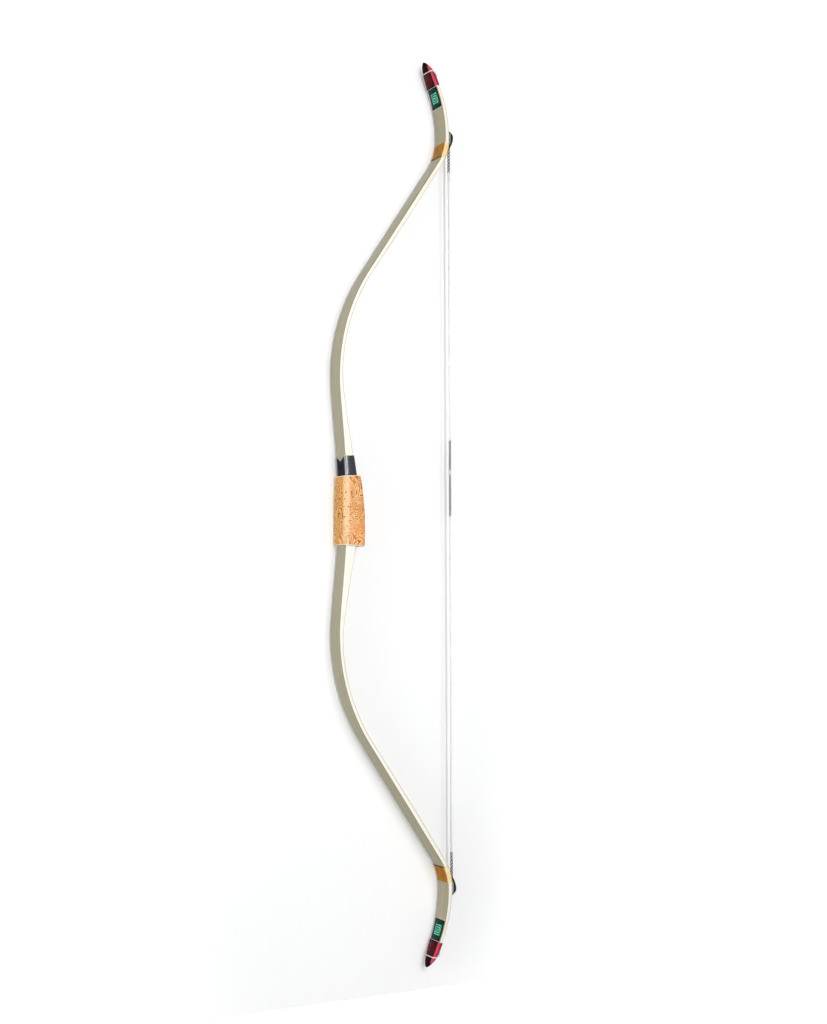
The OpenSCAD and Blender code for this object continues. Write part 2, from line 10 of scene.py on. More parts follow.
import bmesh
import bpy
import numpy as np
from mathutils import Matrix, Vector

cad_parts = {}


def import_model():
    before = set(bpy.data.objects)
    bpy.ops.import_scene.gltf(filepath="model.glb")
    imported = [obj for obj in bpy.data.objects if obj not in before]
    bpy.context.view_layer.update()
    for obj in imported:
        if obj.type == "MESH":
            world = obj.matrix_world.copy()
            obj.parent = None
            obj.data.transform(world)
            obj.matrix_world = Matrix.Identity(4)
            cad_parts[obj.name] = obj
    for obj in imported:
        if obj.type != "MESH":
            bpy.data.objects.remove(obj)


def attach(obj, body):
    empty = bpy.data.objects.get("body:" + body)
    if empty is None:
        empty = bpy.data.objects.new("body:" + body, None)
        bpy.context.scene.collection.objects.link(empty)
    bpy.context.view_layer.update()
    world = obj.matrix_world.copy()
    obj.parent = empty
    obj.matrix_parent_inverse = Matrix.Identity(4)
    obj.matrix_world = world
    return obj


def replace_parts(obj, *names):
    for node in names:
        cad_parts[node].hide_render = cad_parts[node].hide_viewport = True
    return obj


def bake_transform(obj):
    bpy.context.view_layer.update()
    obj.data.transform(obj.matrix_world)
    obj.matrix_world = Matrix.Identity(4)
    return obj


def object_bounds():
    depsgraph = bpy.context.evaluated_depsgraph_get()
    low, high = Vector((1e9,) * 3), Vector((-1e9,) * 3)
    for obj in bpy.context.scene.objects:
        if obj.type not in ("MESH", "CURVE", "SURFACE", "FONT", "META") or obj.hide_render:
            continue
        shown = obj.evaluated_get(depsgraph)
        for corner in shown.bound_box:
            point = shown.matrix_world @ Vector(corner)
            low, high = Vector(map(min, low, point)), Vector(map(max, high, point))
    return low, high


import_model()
cad_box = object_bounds()

MM = 0.001
SIDES = {"upper": 1, "lower": -1}


# The bow's line

AXIS_DEPTH = 10.0 * MM
# Length and turn in degrees of each run of the back face: handle, throat, curve, arm, knee,
# ear and nose
RUNS = [(83 * MM, -5.2), (79 * MM, 0.0), (190 * MM, 38.7), (211 * MM, 0.0),
        (42 * MM, -32.4), (75 * MM, -21.4), (44.5 * MM, 0.0)]
HANDLE_END, THROAT_END, CURVE_END, ARM_END, KNEE_END, EAR_END, BOW_END = np.cumsum(
    [run for run, turn in RUNS])
ARM_MIDDLE = CURVE_END + 0.6 * RUNS[3][0]
NOCK = BOW_END - 16.5 * MM
CAP = NOCK - 23.5 * MM
CORE_END = NOCK - 6 * MM
BAND = ARM_END + 12 * MM
BAND_END = BAND + 23 * MM
BRIDGE = BAND_END - 8.5 * MM
BRIDGE_RUN = 29 * MM
SEAT = BRIDGE + 0.65 * BRIDGE_RUN
PANEL = CAP - 32 * MM


def back_face(station):
    """X, height and heading of the back face of the upper limb."""
    x, z, heading, left = -AXIS_DEPTH, 0.0, 0.0, abs(station)
    for index, (run, degrees) in enumerate(RUNS):
        length = left if index == len(RUNS) - 1 else min(left, run)
        turn = math.radians(degrees) * length / run
        if turn:
            radius = length / turn
            x += radius * (math.cos(heading) - math.cos(heading + turn))
            z += radius * (math.sin(heading + turn) - math.sin(heading))
        else:
            x += length * math.sin(heading)
            z += length * math.cos(heading)
        heading += turn
        left -= length
    return x, z, heading


def sign_of(station):
    return -1 if station < 0 else 1


def spot(station, depth, y=0.0):
    """The point at a station, at a depth below the back face."""
    x, z, heading = back_face(station)
    height = z - depth * math.sin(heading)
    return Vector((x + depth * math.cos(heading), y, sign_of(station) * height))


def tilt(station):
    """Turn about Y that sets a flat section square to the bow."""
    return sign_of(station) * back_face(station)[2]


# Layers and widths

BACK_GLASS = 1.2 * MM
BELLY_GLASS = 1.6 * MM
THIN, THICK, TIP = 6.1 * MM, 7.8 * MM, 5.8 * MM
WEDGE = 12 * MM
FADE = {"upper": 28 * MM, "lower": 50 * MM}
FADE_RUN = 170 * MM
FADE_POWER = 1.5
# Thicknesses and half widths at stations, changing evenly in between
THICKNESS = [(THROAT_END, THIN), (CURVE_END, (2 * THIN + THICK) / 3), (ARM_MIDDLE, THICK),
             (KNEE_END, (2 * THICK + TIP) / 3), (EAR_END, TIP)]
HANDLE_W, LIMB_W, ARM_W, EAR_W, NOCK_W = 28 * MM, 30 * MM, 32 * MM, 31 * MM, 22 * MM
HALF_WIDTHS = [(0, HANDLE_W / 2), (HANDLE_END, HANDLE_W / 2), (THROAT_END + 50 * MM, LIMB_W / 2),
               (CURVE_END, LIMB_W / 2), (ARM_MIDDLE, ARM_W / 2), (KNEE_END, EAR_W / 2),
               (EAR_END - 26 * MM, EAR_W / 2 - 1 * MM), (CAP, (EAR_W + NOCK_W) / 4),
               (NOCK, NOCK_W / 2)]


def lookup(station, table):
    return float(np.interp(abs(station), *zip(*table)))


def wedge(station):
    """Thickness of the riser wedge."""
    fade = FADE["lower" if station < 0 else "upper"]
    left = 1 - (abs(station) - fade) / FADE_RUN
    return WEDGE * min(1.0, max(0.0, left)) ** FADE_POWER


def limb(station):
    """Thickness of the limb without its wedge."""
    return lookup(station, THICKNESS)


def belly(station):
    return limb(station) + wedge(station)


def half(station):
    return lookup(station, HALF_WIDTHS)


def stations(first, last, step):
    """Even stations from one to another, both among them."""
    count = max(1, round(abs(last - first) / step))
    return [first + (last - first) * i / count for i in range(count + 1)]


# Sizes of the grip, the knee and the string's line

SLEEVE_TOP, SLEEVE_BOTTOM = 42 * MM, -58 * MM
SLEEVE_MIDDLE = (SLEEVE_TOP + SLEEVE_BOTTOM) / 2
SLEEVE = 4.5 * MM
SLEEVE_ROUND = 7.5 * MM
SWELL_TOP, SWELL_BOTTOM = 18.6 * MM, 25.6 * MM
SIDE_SWELL, BACK_SWELL = 2 * MM, 2 * MM
LEATHER_H, LEATHER_T = 29 * MM, 1.2 * MM
LEATHER_ROUND, LEATHER_GAP = 3 * MM, 0.1 * MM
NOTCH, NOTCH_HALF, NOTCH_CUT = 7 * MM, 13 * MM, 9 * MM
INSIDE_ROUND = 0.4 * MM

BAND_T, BAND_ROUND = 0.5 * MM, 0.9 * MM
BORE_ROUND = 0.3 * MM
LINE_RUN, LINE_TURNS = 1.4 * MM, 3
BRIDGE_W = 16 * MM
CHEEK_H, COVER_T, SEAT_H = 10.73 * MM, 2.6 * MM, 5.2 * MM
CHEEK_FOOT, CHEEK_PEAK = 0.3, 0.69
SEAT_GAP = 0.3 * MM
STRING_R, LOOP_R, SERVING_T = 1.5 * MM, 0.8 * MM, 0.5 * MM
STRING_X = spot(SEAT, belly(SEAT)).x + SEAT_H + SEAT_GAP + STRING_R + SERVING_T
TURN = Vector((STRING_X, 0, spot(SEAT, belly(SEAT)).z))
JOIN_S = CAP - 22 * MM
JOIN = spot(JOIN_S, belly(JOIN_S) + STRING_R + LOOP_R)
ALONG = (TURN - JOIN).normalized()
UP = Vector((0, 0, 1))
TRACERS, TRACER_PITCH = 3, 5.0 * MM


# Modelling helpers

def deselect():
    """Leaves nothing selected and no piece in edit mode."""
    if bpy.context.object and bpy.context.object.mode == "EDIT":
        bpy.ops.object.mode_set(mode="OBJECT")
    bpy.ops.object.select_all(action="DESELECT")


def pick(piece):
    """Selects one piece alone, and makes it the active one."""
    deselect()
    bpy.context.view_layer.objects.active = piece
    piece.select_set(True)


def edit(piece, elements="VERT"):
    """Opens one piece in edit mode with nothing in it selected."""
    pick(piece)
    bpy.ops.object.mode_set(mode="EDIT")
    bpy.ops.mesh.select_mode(type=elements)
    bpy.ops.mesh.select_all(action="DESELECT")


def done(piece):
    """Closes edit mode and applies the piece's place to its mesh."""
    pick(piece)
    bpy.ops.object.transform_apply(location=True, rotation=True, scale=True)
    return piece


def outward(piece, merge=0.0):
    """Turns a closed piece's faces outward, once points nearer than merge are one."""
    edit(piece)
    bpy.ops.mesh.select_all(action="SELECT")
    if merge:
        bpy.ops.mesh.remove_doubles(threshold=merge)
    bpy.ops.mesh.normals_make_consistent(inside=False)
    return done(piece)


def join(pieces, name):
    """Makes one piece of several."""
    pick(pieces[0])
    for piece in pieces:
        piece.select_set(True)
    bpy.ops.object.join()
    pieces[0].name = pieces[0].data.name = name
    return pieces[0]


def start(name):
    """An empty piece at the origin, open in edit mode."""
    deselect()
    bpy.ops.mesh.primitive_plane_add()
    piece = bpy.context.object
    piece.name = piece.data.name = name
    bpy.ops.object.mode_set(mode="EDIT")
    bpy.ops.mesh.delete(type="VERT")
    bpy.ops.mesh.select_mode(type="EDGE")
    return piece


def select_edges(piece, wanted):
    """Selects the edges for which wanted(edge, ring numbers of its ends) is true."""
    mesh = bmesh.from_edit_mesh(piece.data)
    ring = mesh.verts.layers.int["ring"]
    for edge in mesh.edges:
        edge.select_set(wanted(edge, *(v[ring] for v in edge.verts)))
    bmesh.update_edit_mesh(piece.data)


CORNER_STEPS = 6


def loft(name, sections, joined=False):
    """A shell through flat sections: (station, near depth, far depth, half width, corner radius).
    It is closed at both ends, or joined from the last section back to the first. Each vertex
    keeps the number of its section, so that one section is bridged to the next."""
    piece = start(name)
    mesh = bmesh.from_edit_mesh(piece.data)
    mesh.verts.layers.int.new("ring")
    for number, (station, near, far, half_width, radius) in enumerate(sections):
        middle = spot(station, (near + far) / 2)
        thickness = far - near
        bpy.ops.mesh.primitive_plane_add(size=thickness, location=middle, rotation=(0, tilt(station), 0))
        bpy.ops.transform.resize(value=(1, 2 * half_width / thickness, 1), center_override=middle)
        if radius:
            bpy.ops.mesh.bevel(offset=radius, segments=CORNER_STEPS, affect="VERTICES")
        mesh = bmesh.from_edit_mesh(piece.data)
        ring = mesh.verts.layers.int["ring"]
        for vertex in mesh.verts:
            if vertex.select:
                vertex[ring] = number
    bpy.ops.mesh.select_all(action="SELECT")
    bpy.ops.mesh.delete(type="ONLY_FACE")
    last = len(sections) - 1
    pairs = [(i, i + 1) for i in range(last)] + ([(last, 0)] if joined else [])
    for pair in pairs:
        select_edges(piece, lambda edge, a, b: a == b and a in pair)
        bpy.ops.mesh.bridge_edge_loops()
    if not joined:
        for end in (0, last):
            select_edges(piece, lambda edge, a, b: a == b == end)
            bpy.ops.mesh.edge_face_add()
    return outward(piece)


def rod(radius, length, middle, vertices):
    """A cylinder across the bow."""
    deselect()
    bpy.ops.mesh.primitive_cylinder_add(vertices=vertices, radius=radius, depth=length,
                                        location=middle, rotation=(math.pi / 2, 0, 0))
    return done(bpy.context.object)


def round_long_edges(piece, radius, wanted=lambda depth: True):
    """Rounds the edges that run along the bow at depths for which wanted(depth) is true."""
    edit(piece, "EDGE")

    def long_edge(edge, a, b):
        return a != b and all(wanted(places(v.co)[0][2]) for v in edge.verts)

    select_edges(piece, long_edge)
    bpy.ops.mesh.bevel(offset=radius, segments=3, affect="EDGES")
    return done(piece)


# Stations with the place and heading of the back face there
TABLE = np.array([(s, *back_face(s)) for s in np.arange(0, BOW_END + 20 * MM, 0.5 * MM)])
PLACE_ROUNDS = 12


def places(points):
    """Station, distance to the side and depth below the back of each point. Each round slides
    the stations along the back face until the points lie square to it."""
    points = np.asarray(points, float).reshape(-1, 3)
    side = np.where(points[:, 2] < 0, -1.0, 1.0)
    height = np.abs(points[:, 2])
    station = np.interp(height, TABLE[:, 2], TABLE[:, 0])
    for _ in range(PLACE_ROUNDS):
        x, z, heading = (np.interp(station, TABLE[:, 0], TABLE[:, k]) for k in (1, 2, 3))
        station += (points[:, 0] - x) * np.sin(heading) + (height - z) * np.cos(heading)
    depth = (points[:, 0] - x) * np.cos(heading) - (height - z) * np.sin(heading)
    return np.stack([side * station, points[:, 1], depth], axis=1)


def finish(piece, slot, smooth=35):
    """Gives a piece its places along the bow, the look of a slot, and smooth shading over edges that
    turn by less than an angle."""
    mesh = piece.data
    points = np.empty(len(mesh.vertices) * 3)
    mesh.vertices.foreach_get("co", points)
    where = places(points)
    attribute = mesh.attributes.new("place", "FLOAT_VECTOR", "POINT")
    attribute.data.foreach_set("vector", where.ravel())
    attribute = mesh.attributes.new("half_width", "FLOAT", "POINT")
    attribute.data.foreach_set("value", np.interp(np.abs(where[:, 0]), *zip(*HALF_WIDTHS)))
    mesh.materials.clear()
    mesh.materials.append(LOOKS[slot])
    pick(piece)
    bpy.ops.object.shade_smooth_by_angle(angle=math.radians(smooth))
    return piece


def apply_modifiers(piece):
    pick(piece)
    for modifier in list(piece.modifiers):
        bpy.ops.object.modifier_apply(modifier=modifier.name)
    return piece


def cut(piece, cutter):
    """Takes the cutter out of the piece, and deletes the cutter."""
    modifier = piece.modifiers.new("cut", "BOOLEAN")
    modifier.operation = "DIFFERENCE"
    modifier.solver = "EXACT"
    modifier.object = cutter
    apply_modifiers(piece)
    bpy.data.objects.remove(cutter)


def ease(piece, width, angle, segments=2):
    """Rounds every edge that is sharper than an angle."""
    modifier = piece.modifiers.new("ease", "BEVEL")
    modifier.width = width
    modifier.segments = segments
    modifier.limit_method = "ANGLE"
    modifier.angle_limit = math.radians(angle)
    return apply_modifiers(piece)


def mirrored(piece, name):
    """The same piece for the lower limb, with its own mesh."""
    pick(piece)
    bpy.ops.object.duplicate()
    copy = bpy.context.object
    copy.name = copy.data.name = name
    copy.scale.z = -1
    return outward(done(copy))


def both_limbs(build):
    """The pieces that build() makes for the upper limb, and their copies for the lower one."""
    made = build()
    return {"upper": made, "lower": [mirrored(p, p.name.replace("upper", "lower")) for p in made]}


# Materials

class Nodes:
    """Short ways to add nodes to a tree."""

    def __init__(self, tree):
        self.nodes, self.links = tree.nodes, tree.links

    def add(self, kind, inputs=(), **settings):
        """A node with its settings, and its inputs given by name or number."""
        node = self.nodes.new(kind if kind.startswith("Node") else "ShaderNode" + kind)
        for name, value in settings.items():
            setattr(node, name, value)
        for key, value in dict(inputs).items():
            self.feed(node.inputs[key], value)
        return node

    def feed(self, socket, value):
        if isinstance(value, bpy.types.NodeSocket):
            self.links.new(value, socket)
        else:
            socket.default_value = value

    def parts(self, vector):
        return self.add("SeparateXYZ", {0: vector}).outputs

    def scaled(self, vector, by):
        return self.add("VectorMath", {0: vector, 1: by}, operation="MULTIPLY").outputs[0]

    def math(self, operation, a, b=0.0):
        return self.add("Math", {0: a, 1: b}, operation=operation).outputs[0]

    def apart(self, a, b):
        """How far apart two values are."""
        return self.math("ABSOLUTE", self.math("SUBTRACT", a, b))

    def all_of(self, *masks):
        """One where every mask is one."""
        product = masks[0]
        for mask in masks[1:]:
            product = self.math("MULTIPLY", product, mask)
        return product

    def any_of(self, *masks):
        """One where some mask is one."""
        most = masks[0]
        for mask in masks[1:]:
            most = self.math("MAXIMUM", most, mask)
        return most

    def between(self, value, low, high, new_low=0.0, new_high=1.0):
        """Maps a value smoothly from one range to another."""
        node = self.add("MapRange", {"Value": value, "From Min": low, "From Max": high,
                                     "To Min": new_low, "To Max": new_high})
        node.interpolation_type = "SMOOTHSTEP"
        return node.outputs[0]

    def below(self, value, low, high):
        """One up to a value, falling smoothly to nothing at a higher one."""
        return self.between(value, low, high, 1.0, 0.0)

    def near(self, value, middle, reach):
        """One at a value, falling to nothing at a reach from it."""
        return self.below(self.apart(value, middle), 0.5 * reach, reach)

    def noise(self, vector, scale=1.0, detail=3.0, roughness=0.5, distortion=0.0):
        inputs = {"Vector": vector, "Scale": scale, "Detail": detail,
                  "Roughness": roughness, "Distortion": distortion}
        return self.add("TexNoise", inputs).outputs["Fac"]

    def cells(self, vector, scale):
        """Distance from the middle of the nearest cell."""
        return self.add("TexVoronoi", {"Vector": vector, "Scale": scale}).outputs["Distance"]

    def seen(self):
        """One for what the camera sees, directly, in a mirror or through glass."""
        path = self.add("LightPath").outputs
        return self.any_of(path["Is Camera Ray"], path["Is Glossy Ray"], path["Is Transmission Ray"])


def effect(name, inputs, build):
    """A node group for what recurs in the finishes. build(nodes, inputs) gives its outputs by name."""
    tree = bpy.data.node_groups.new(name, "ShaderNodeTree")
    for label, value in inputs.items():
        kind = "NodeSocketVector" if isinstance(value, tuple) else "NodeSocketFloat"
        tree.interface.new_socket(label, in_out="INPUT", socket_type=kind).default_value = value
    nodes = Nodes(tree)
    outputs = build(nodes, nodes.add("NodeGroupInput").outputs)
    for label in outputs:
        tree.interface.new_socket(label, in_out="OUTPUT", socket_type="NodeSocketFloat")
    nodes.add("NodeGroupOutput", outputs)
    return tree


def build_fibres(nodes, given):
    """Fine streaks, and the broader tones among them."""
    along, across = given["Along"], given["Across"]
    stretch = nodes.add("CombineXYZ", {0: along, 1: across, 2: across}).outputs[0]
    laid = nodes.scaled(given["Place"], stretch)
    fine = nodes.noise(laid, detail=4, roughness=0.65)
    broad = nodes.noise(laid, scale=0.22, detail=2)
    both = nodes.math("ADD", nodes.math("MULTIPLY", fine, 0.6), nodes.math("MULTIPLY", broad, 0.4))
    return {"Streaks": nodes.between(both, 0.38, 0.62), "Broad": nodes.between(broad, 0.35, 0.65)}


def build_handling(nodes, given):
    """Slow changes of tone, and small specks here and there."""
    inputs = {0: given["Place"], "Scale": given["Scale"]}
    laid = nodes.add("VectorMath", inputs, operation="SCALE").outputs[0]
    dots = nodes.cells(laid, 6)
    picked = nodes.noise(laid, scale=2.3, detail=1)
    specks = nodes.all_of(nodes.below(dots, 0.1, 0.22), nodes.between(picked, 0.52, 0.6))
    return {"Tone": nodes.between(nodes.noise(laid), 0.35, 0.65), "Specks": specks}


def build_rim(nodes, given):
    """One at the bow's side faces, nothing from a width inward."""
    share = nodes.math("DIVIDE", given["Inset"], given["Width"])
    return {"Rim": nodes.below(share, 0.35, 1.0)}


def build_winding(nodes, given):
    """The round backs of thread turns, and the gaps between them."""
    turns = nodes.math("DIVIDE", given["Along"], given["Pitch"])
    ridge = nodes.math("ABSOLUTE", nodes.math("SINE", nodes.math("MULTIPLY", turns, math.pi)))
    return {"Ridge": ridge, "Gap": nodes.below(ridge, 0.1, 0.5)}


NOWHERE = (0.0, 0.0, 0.0)
FIBRES = effect("fibres", {"Place": NOWHERE, "Along": 6.0, "Across": 900.0}, build_fibres)
HANDLING = effect("handling", {"Place": NOWHERE, "Scale": 40.0}, build_handling)
RIM = effect("rim", {"Inset": 0.0, "Width": 1 * MM}, build_rim)
WINDING = effect("winding", {"Along": 0.0, "Pitch": 0.45 * MM}, build_winding)


class Finish(Nodes):
    """A material with its shader."""

    def __init__(self, name, **plain):
        self.material = bpy.data.materials.new(name)
        self.material.use_nodes = True
        super().__init__(self.material.node_tree)
        self.shader = self.nodes["Principled BSDF"]
        for socket, value in plain.items():
            self.shader.inputs[socket.replace("_", " ")].default_value = value

    @cached_property
    def solid(self):
        return self.add("TexCoord").outputs["Object"]

    @cached_property
    def place(self):
        return self.add("Attribute", attribute_name="place").outputs["Vector"]

    @cached_property
    def place_parts(self):
        return self.parts(self.place)

    @property
    def signed_station(self):
        return self.place_parts[0]

    @cached_property
    def station(self):
        return self.math("ABSOLUTE", self.signed_station)

    @cached_property
    def side(self):
        return self.math("ABSOLUTE", self.place_parts[1])

    @property
    def depth(self):
        return self.place_parts[2]

    @cached_property
    def inset(self):
        """Distance from the nearer side face of the bow."""
        width = self.add("Attribute", attribute_name="half_width").outputs["Fac"]
        return self.math("SUBTRACT", width, self.side)

    def shared(self, group, **inputs):
        return self.add("Group", inputs, node_tree=group).outputs

    def set(self, socket, value):
        self.feed(self.shader.inputs[socket], value)

    def mix(self, factor, a, b):
        """A colour between two colours."""
        node = self.add("Mix", data_type="RGBA")
        for socket, value in ((node.inputs[0], factor), (node.inputs[6], a), (node.inputs[7], b)):
            self.feed(socket, value)
        return node.outputs[2]

    def tint(self, base, share, mask, colour):
        """A colour laid over another where a mask is one, but for a share only."""
        return self.mix(self.math("MULTIPLY", mask, share), base, colour)

    def polished(self, flat, corner, reach):
        """Clear coat that is thicker at the bow's corners than on its flat faces."""
        self.set("Coat Weight", self.between(self.inset, 0.4 * reach, reach, corner, flat))

    def rough(self, mask, low, high):
        """Roughness that a mask takes from one value to another."""
        self.set("Roughness", self.between(mask, 0.0, 1.0, low, high))

    def bump(self, height, distance):
        self.set("Normal", self.add("Bump", {"Height": height, "Distance": distance}).outputs[0])


def rgb(red, green, blue):
    """A colour as it shows on a screen, 0 to 255, turned to the renderer's own scale."""
    return tuple((c / 255 / 12.92) if c <= 10 else ((c / 255 + 0.055) / 1.055) ** 2.4
                 for c in (red, green, blue)) + (1.0,)


def khaki_glass():
    """Glass laminate with fibres along the limb, darker at its rims, and pale grey on the sides
    of the belly strip."""
    look = Finish("khaki_glass", Coat_Weight=0.08, Coat_Roughness=0.12, Specular_IOR_Level=0.2)
    streaks = look.shared(FIBRES, Place=look.place, Along=5.0, Across=1300.0)
    worn = look.shared(HANDLING, Place=look.place, Scale=22.0)
    face = look.mix(streaks["Streaks"], rgb(162, 156, 130), rgb(188, 181, 154))
    face = look.tint(face, 0.35, worn["Tone"], rgb(180, 169, 140))
    face = look.tint(face, 0.25, worn["Specks"], rgb(205, 200, 182))
    rim = look.shared(RIM, Inset=look.inset, Width=2.2 * MM)["Rim"]
    face = look.tint(face, 0.7, rim, rgb(136, 135, 110))
    cut_side = look.shared(RIM, Inset=look.inset, Width=0.35 * MM)["Rim"]
    belly_strip = look.between(look.depth, 3 * MM, 3.5 * MM)
    edge = look.mix(streaks["Streaks"], rgb(203, 204, 188), rgb(222, 222, 208))
    look.set("Base Color", look.mix(look.all_of(cut_side, belly_strip), face, edge))
    look.rough(streaks["Streaks"], 0.3, 0.46)
    look.bump(streaks["Streaks"], 0.03 * MM)
    return look.material


GLUE_LINES = (2.9 * MM, 4.6 * MM, 8 * MM, 11 * MM, 14 * MM)


def maple():
    """Pale wood with long grain, pores and the glue lines between its laminations."""
    look = Finish("maple", Coat_Weight=0.08, Coat_Roughness=0.15, Specular_IOR_Level=0.25)
    grain = look.shared(FIBRES, Place=look.place, Along=9.0, Across=1500.0)
    pores = look.shared(FIBRES, Place=look.place, Along=90.0, Across=4200.0)
    worn = look.shared(HANDLING, Place=look.place, Scale=14.0)
    wood = look.mix(grain["Streaks"], rgb(248, 240, 222), rgb(255, 251, 241))
    wood = look.tint(wood, 0.5, grain["Broad"], rgb(255, 254, 248))
    wood = look.tint(wood, 0.3, look.between(pores["Streaks"], 0.75, 1.0), rgb(214, 188, 146))
    wood = look.tint(wood, 0.2, worn["Tone"], rgb(250, 240, 218))
    glued = look.any_of(*[look.near(look.depth, depth, 0.16 * MM) for depth in GLUE_LINES])
    look.set("Base Color", look.tint(wood, 0.7, glued, rgb(205, 184, 146)))
    look.rough(grain["Streaks"], 0.5, 0.34)
    look.bump(grain["Streaks"], 0.02 * MM)
    return look.material


def burl_print():
    """Orange sleeve printed with burl: winding contour lines, pale swirls and small eyes, with its back
    face painted lighter as painted light, and a painted highlight over its back corners.
    """
    look = Finish("burl_print", Specular_IOR_Level=0.12)
    field = look.noise(look.solid, scale=40.0, detail=1.6, roughness=0.4, distortion=0.5)
    wave = look.math("SINE", look.math("MULTIPLY", field, 110.0))
    strength = look.between(look.noise(look.solid, scale=26.0, detail=1), 0.34, 0.5, 0.7, 1.0)
    worn = look.shared(HANDLING, Place=look.solid, Scale=60.0)
    ground = look.mix(worn["Tone"], rgb(246, 152, 74), rgb(255, 186, 116))
    pale = look.all_of(look.near(wave, 0.0, 0.85), strength)
    ground = look.tint(ground, 0.6, pale, rgb(255, 218, 154))
    # Painted light: the back face is painted a lighter orange.
    back = look.below(look.depth, -4 * MM, -2 * MM)
    ground = look.tint(ground, 0.5, back, rgb(255, 196, 104))
    dark = look.all_of(look.between(wave, 0.3, 0.75), strength)
    ground = look.tint(ground, 0.9, dark, rgb(150, 76, 22))
    fine = look.math("SINE", look.math("MULTIPLY", look.noise(look.solid, scale=150.0, detail=1), 60.0))
    ground = look.tint(ground, 0.35, look.between(fine, 0.5, 1.0), rgb(190, 110, 50))
    # Painted highlight: pale peach over the rounded corners between the back and the sides.
    corner = look.near(look.math("ADD", look.side, look.depth), 15.5 * MM, 9 * MM)
    ground = look.tint(ground, 0.6, corner, rgb(253, 214, 170))
    eyes = look.below(look.cells(look.solid, 150.0), 0.13, 0.2)
    ground = look.tint(ground, 0.8, eyes, rgb(104, 52, 22))
    from_middle = look.apart(look.signed_station, SLEEVE_MIDDLE)
    from_end = look.math("SUBTRACT", SLEEVE_TOP - SLEEVE_MIDDLE, from_middle)
    cut_end = look.below(from_end, 0.9 * MM, 1.3 * MM)
    look.set("Base Color", look.mix(cut_end, ground, rgb(250, 236, 208)))
    look.rough(dark, 0.38, 0.55)
    look.bump(look.math("SUBTRACT", worn["Tone"], dark), 0.04 * MM)
    return look.material


def black_leather():
    """Thin glossy leather with its grain and a painted highlight, pale, along its corners, and at the
    grip a pale cut edge at the top and along the notch."""
    look = Finish("black_leather", Coat_Roughness=0.1, Specular_IOR_Level=0.02)
    grain = look.cells(look.solid, 1500.0)
    creases = look.noise(look.solid, scale=420.0, detail=3, distortion=1.2)
    worn = look.shared(HANDLING, Place=look.solid, Scale=70.0)
    hide = look.mix(worn["Tone"], rgb(12, 15, 20), rgb(30, 33, 44))
    hide = look.tint(hide, 0.4, look.between(creases, 0.6, 0.75), rgb(52, 58, 72))
    hide = look.tint(hide, 0.4, worn["Specks"], rgb(86, 90, 100))
    # Painted highlight: a pale strip along the corners between the back and the sides.
    painted_corner_highlight = look.near(look.math("ADD", look.inset, look.depth), -1.1 * MM, 1.1 * MM)
    hide = look.tint(hide, 0.6, painted_corner_highlight, rgb(196, 200, 208))
    notch = look.math("SUBTRACT", NOTCH, look.math("MULTIPLY", look.side, NOTCH / NOTCH_HALF))
    on_back = look.between(look.depth, 0.0, -0.3 * MM)
    down = look.all_of(on_back, look.math("MAXIMUM", notch, 0.0))
    from_top = look.math("SUBTRACT", SLEEVE_TOP + LEATHER_H, look.signed_station)
    edge = look.below(look.math("SUBTRACT", from_top, down), 0.7 * MM, 1.0 * MM)
    at_grip = look.all_of(edge, look.below(look.signed_station, 0.1, 0.12))
    look.set("Base Color", look.tint(hide, 0.85, at_grip, rgb(214, 208, 194)))
    look.polished(0.0, 0.9, 4 * MM)
    look.set("Roughness", look.between(creases, 0.3, 0.7, 0.22, 0.42))
    look.bump(look.math("ADD", grain, creases), 0.04 * MM)
    return look.material


def amber_wrap():
    """Thread wound round the splice under amber lacquer: deep gold on the back, pale on the sides."""
    look = Finish("amber_wrap", Coat_Roughness=0.08, Specular_IOR_Level=0.05)
    turns = look.shared(WINDING, Along=look.station, Pitch=0.45 * MM)
    worn = look.shared(HANDLING, Place=look.place, Scale=90.0)
    back = look.mix(worn["Tone"], rgb(164, 98, 10), rgb(190, 126, 24))
    back = look.mix(look.between(look.side, 4 * MM, 16 * MM), back, rgb(184, 122, 36))
    side = look.mix(worn["Tone"], rgb(252, 220, 160), rgb(255, 236, 190))
    side = look.mix(look.between(look.depth, 5 * MM, 8 * MM), side, rgb(226, 174, 98))
    tone = look.mix(look.between(look.depth, -0.35 * MM, 0.1 * MM), back, side)
    # Painted shade: darker in the gaps between the thread turns.
    tone = look.tint(tone, 0.25, turns["Gap"], rgb(120, 66, 18))
    look.set("Base Color", look.tint(tone, 0.6, worn["Specks"], rgb(255, 226, 170)))
    look.polished(0.02, 0.3, 3 * MM)
    look.rough(worn["Tone"], 0.22, 0.4)
    look.bump(turns["Ridge"], 0.05 * MM)
    return look.material


def dark_thread():
    """Waxed thread, twisted, with a few lighter fibres."""
    look = Finish("dark_thread", Specular_IOR_Level=0.04)
    twist = look.shared(WINDING, Along=look.math("ADD", look.side, look.station), Pitch=0.35 * MM)
    worn = look.shared(HANDLING, Place=look.solid, Scale=160.0)
    # Painted shade: darker in the gaps of the twist.
    tone = look.mix(twist["Gap"], rgb(40, 24, 14), rgb(14, 8, 5))
    look.set("Base Color", look.tint(tone, 0.5, worn["Specks"], rgb(120, 86, 56)))
    look.rough(worn["Tone"], 0.4, 0.6)
    look.bump(twist["Ridge"], 0.05 * MM)
    return look.material


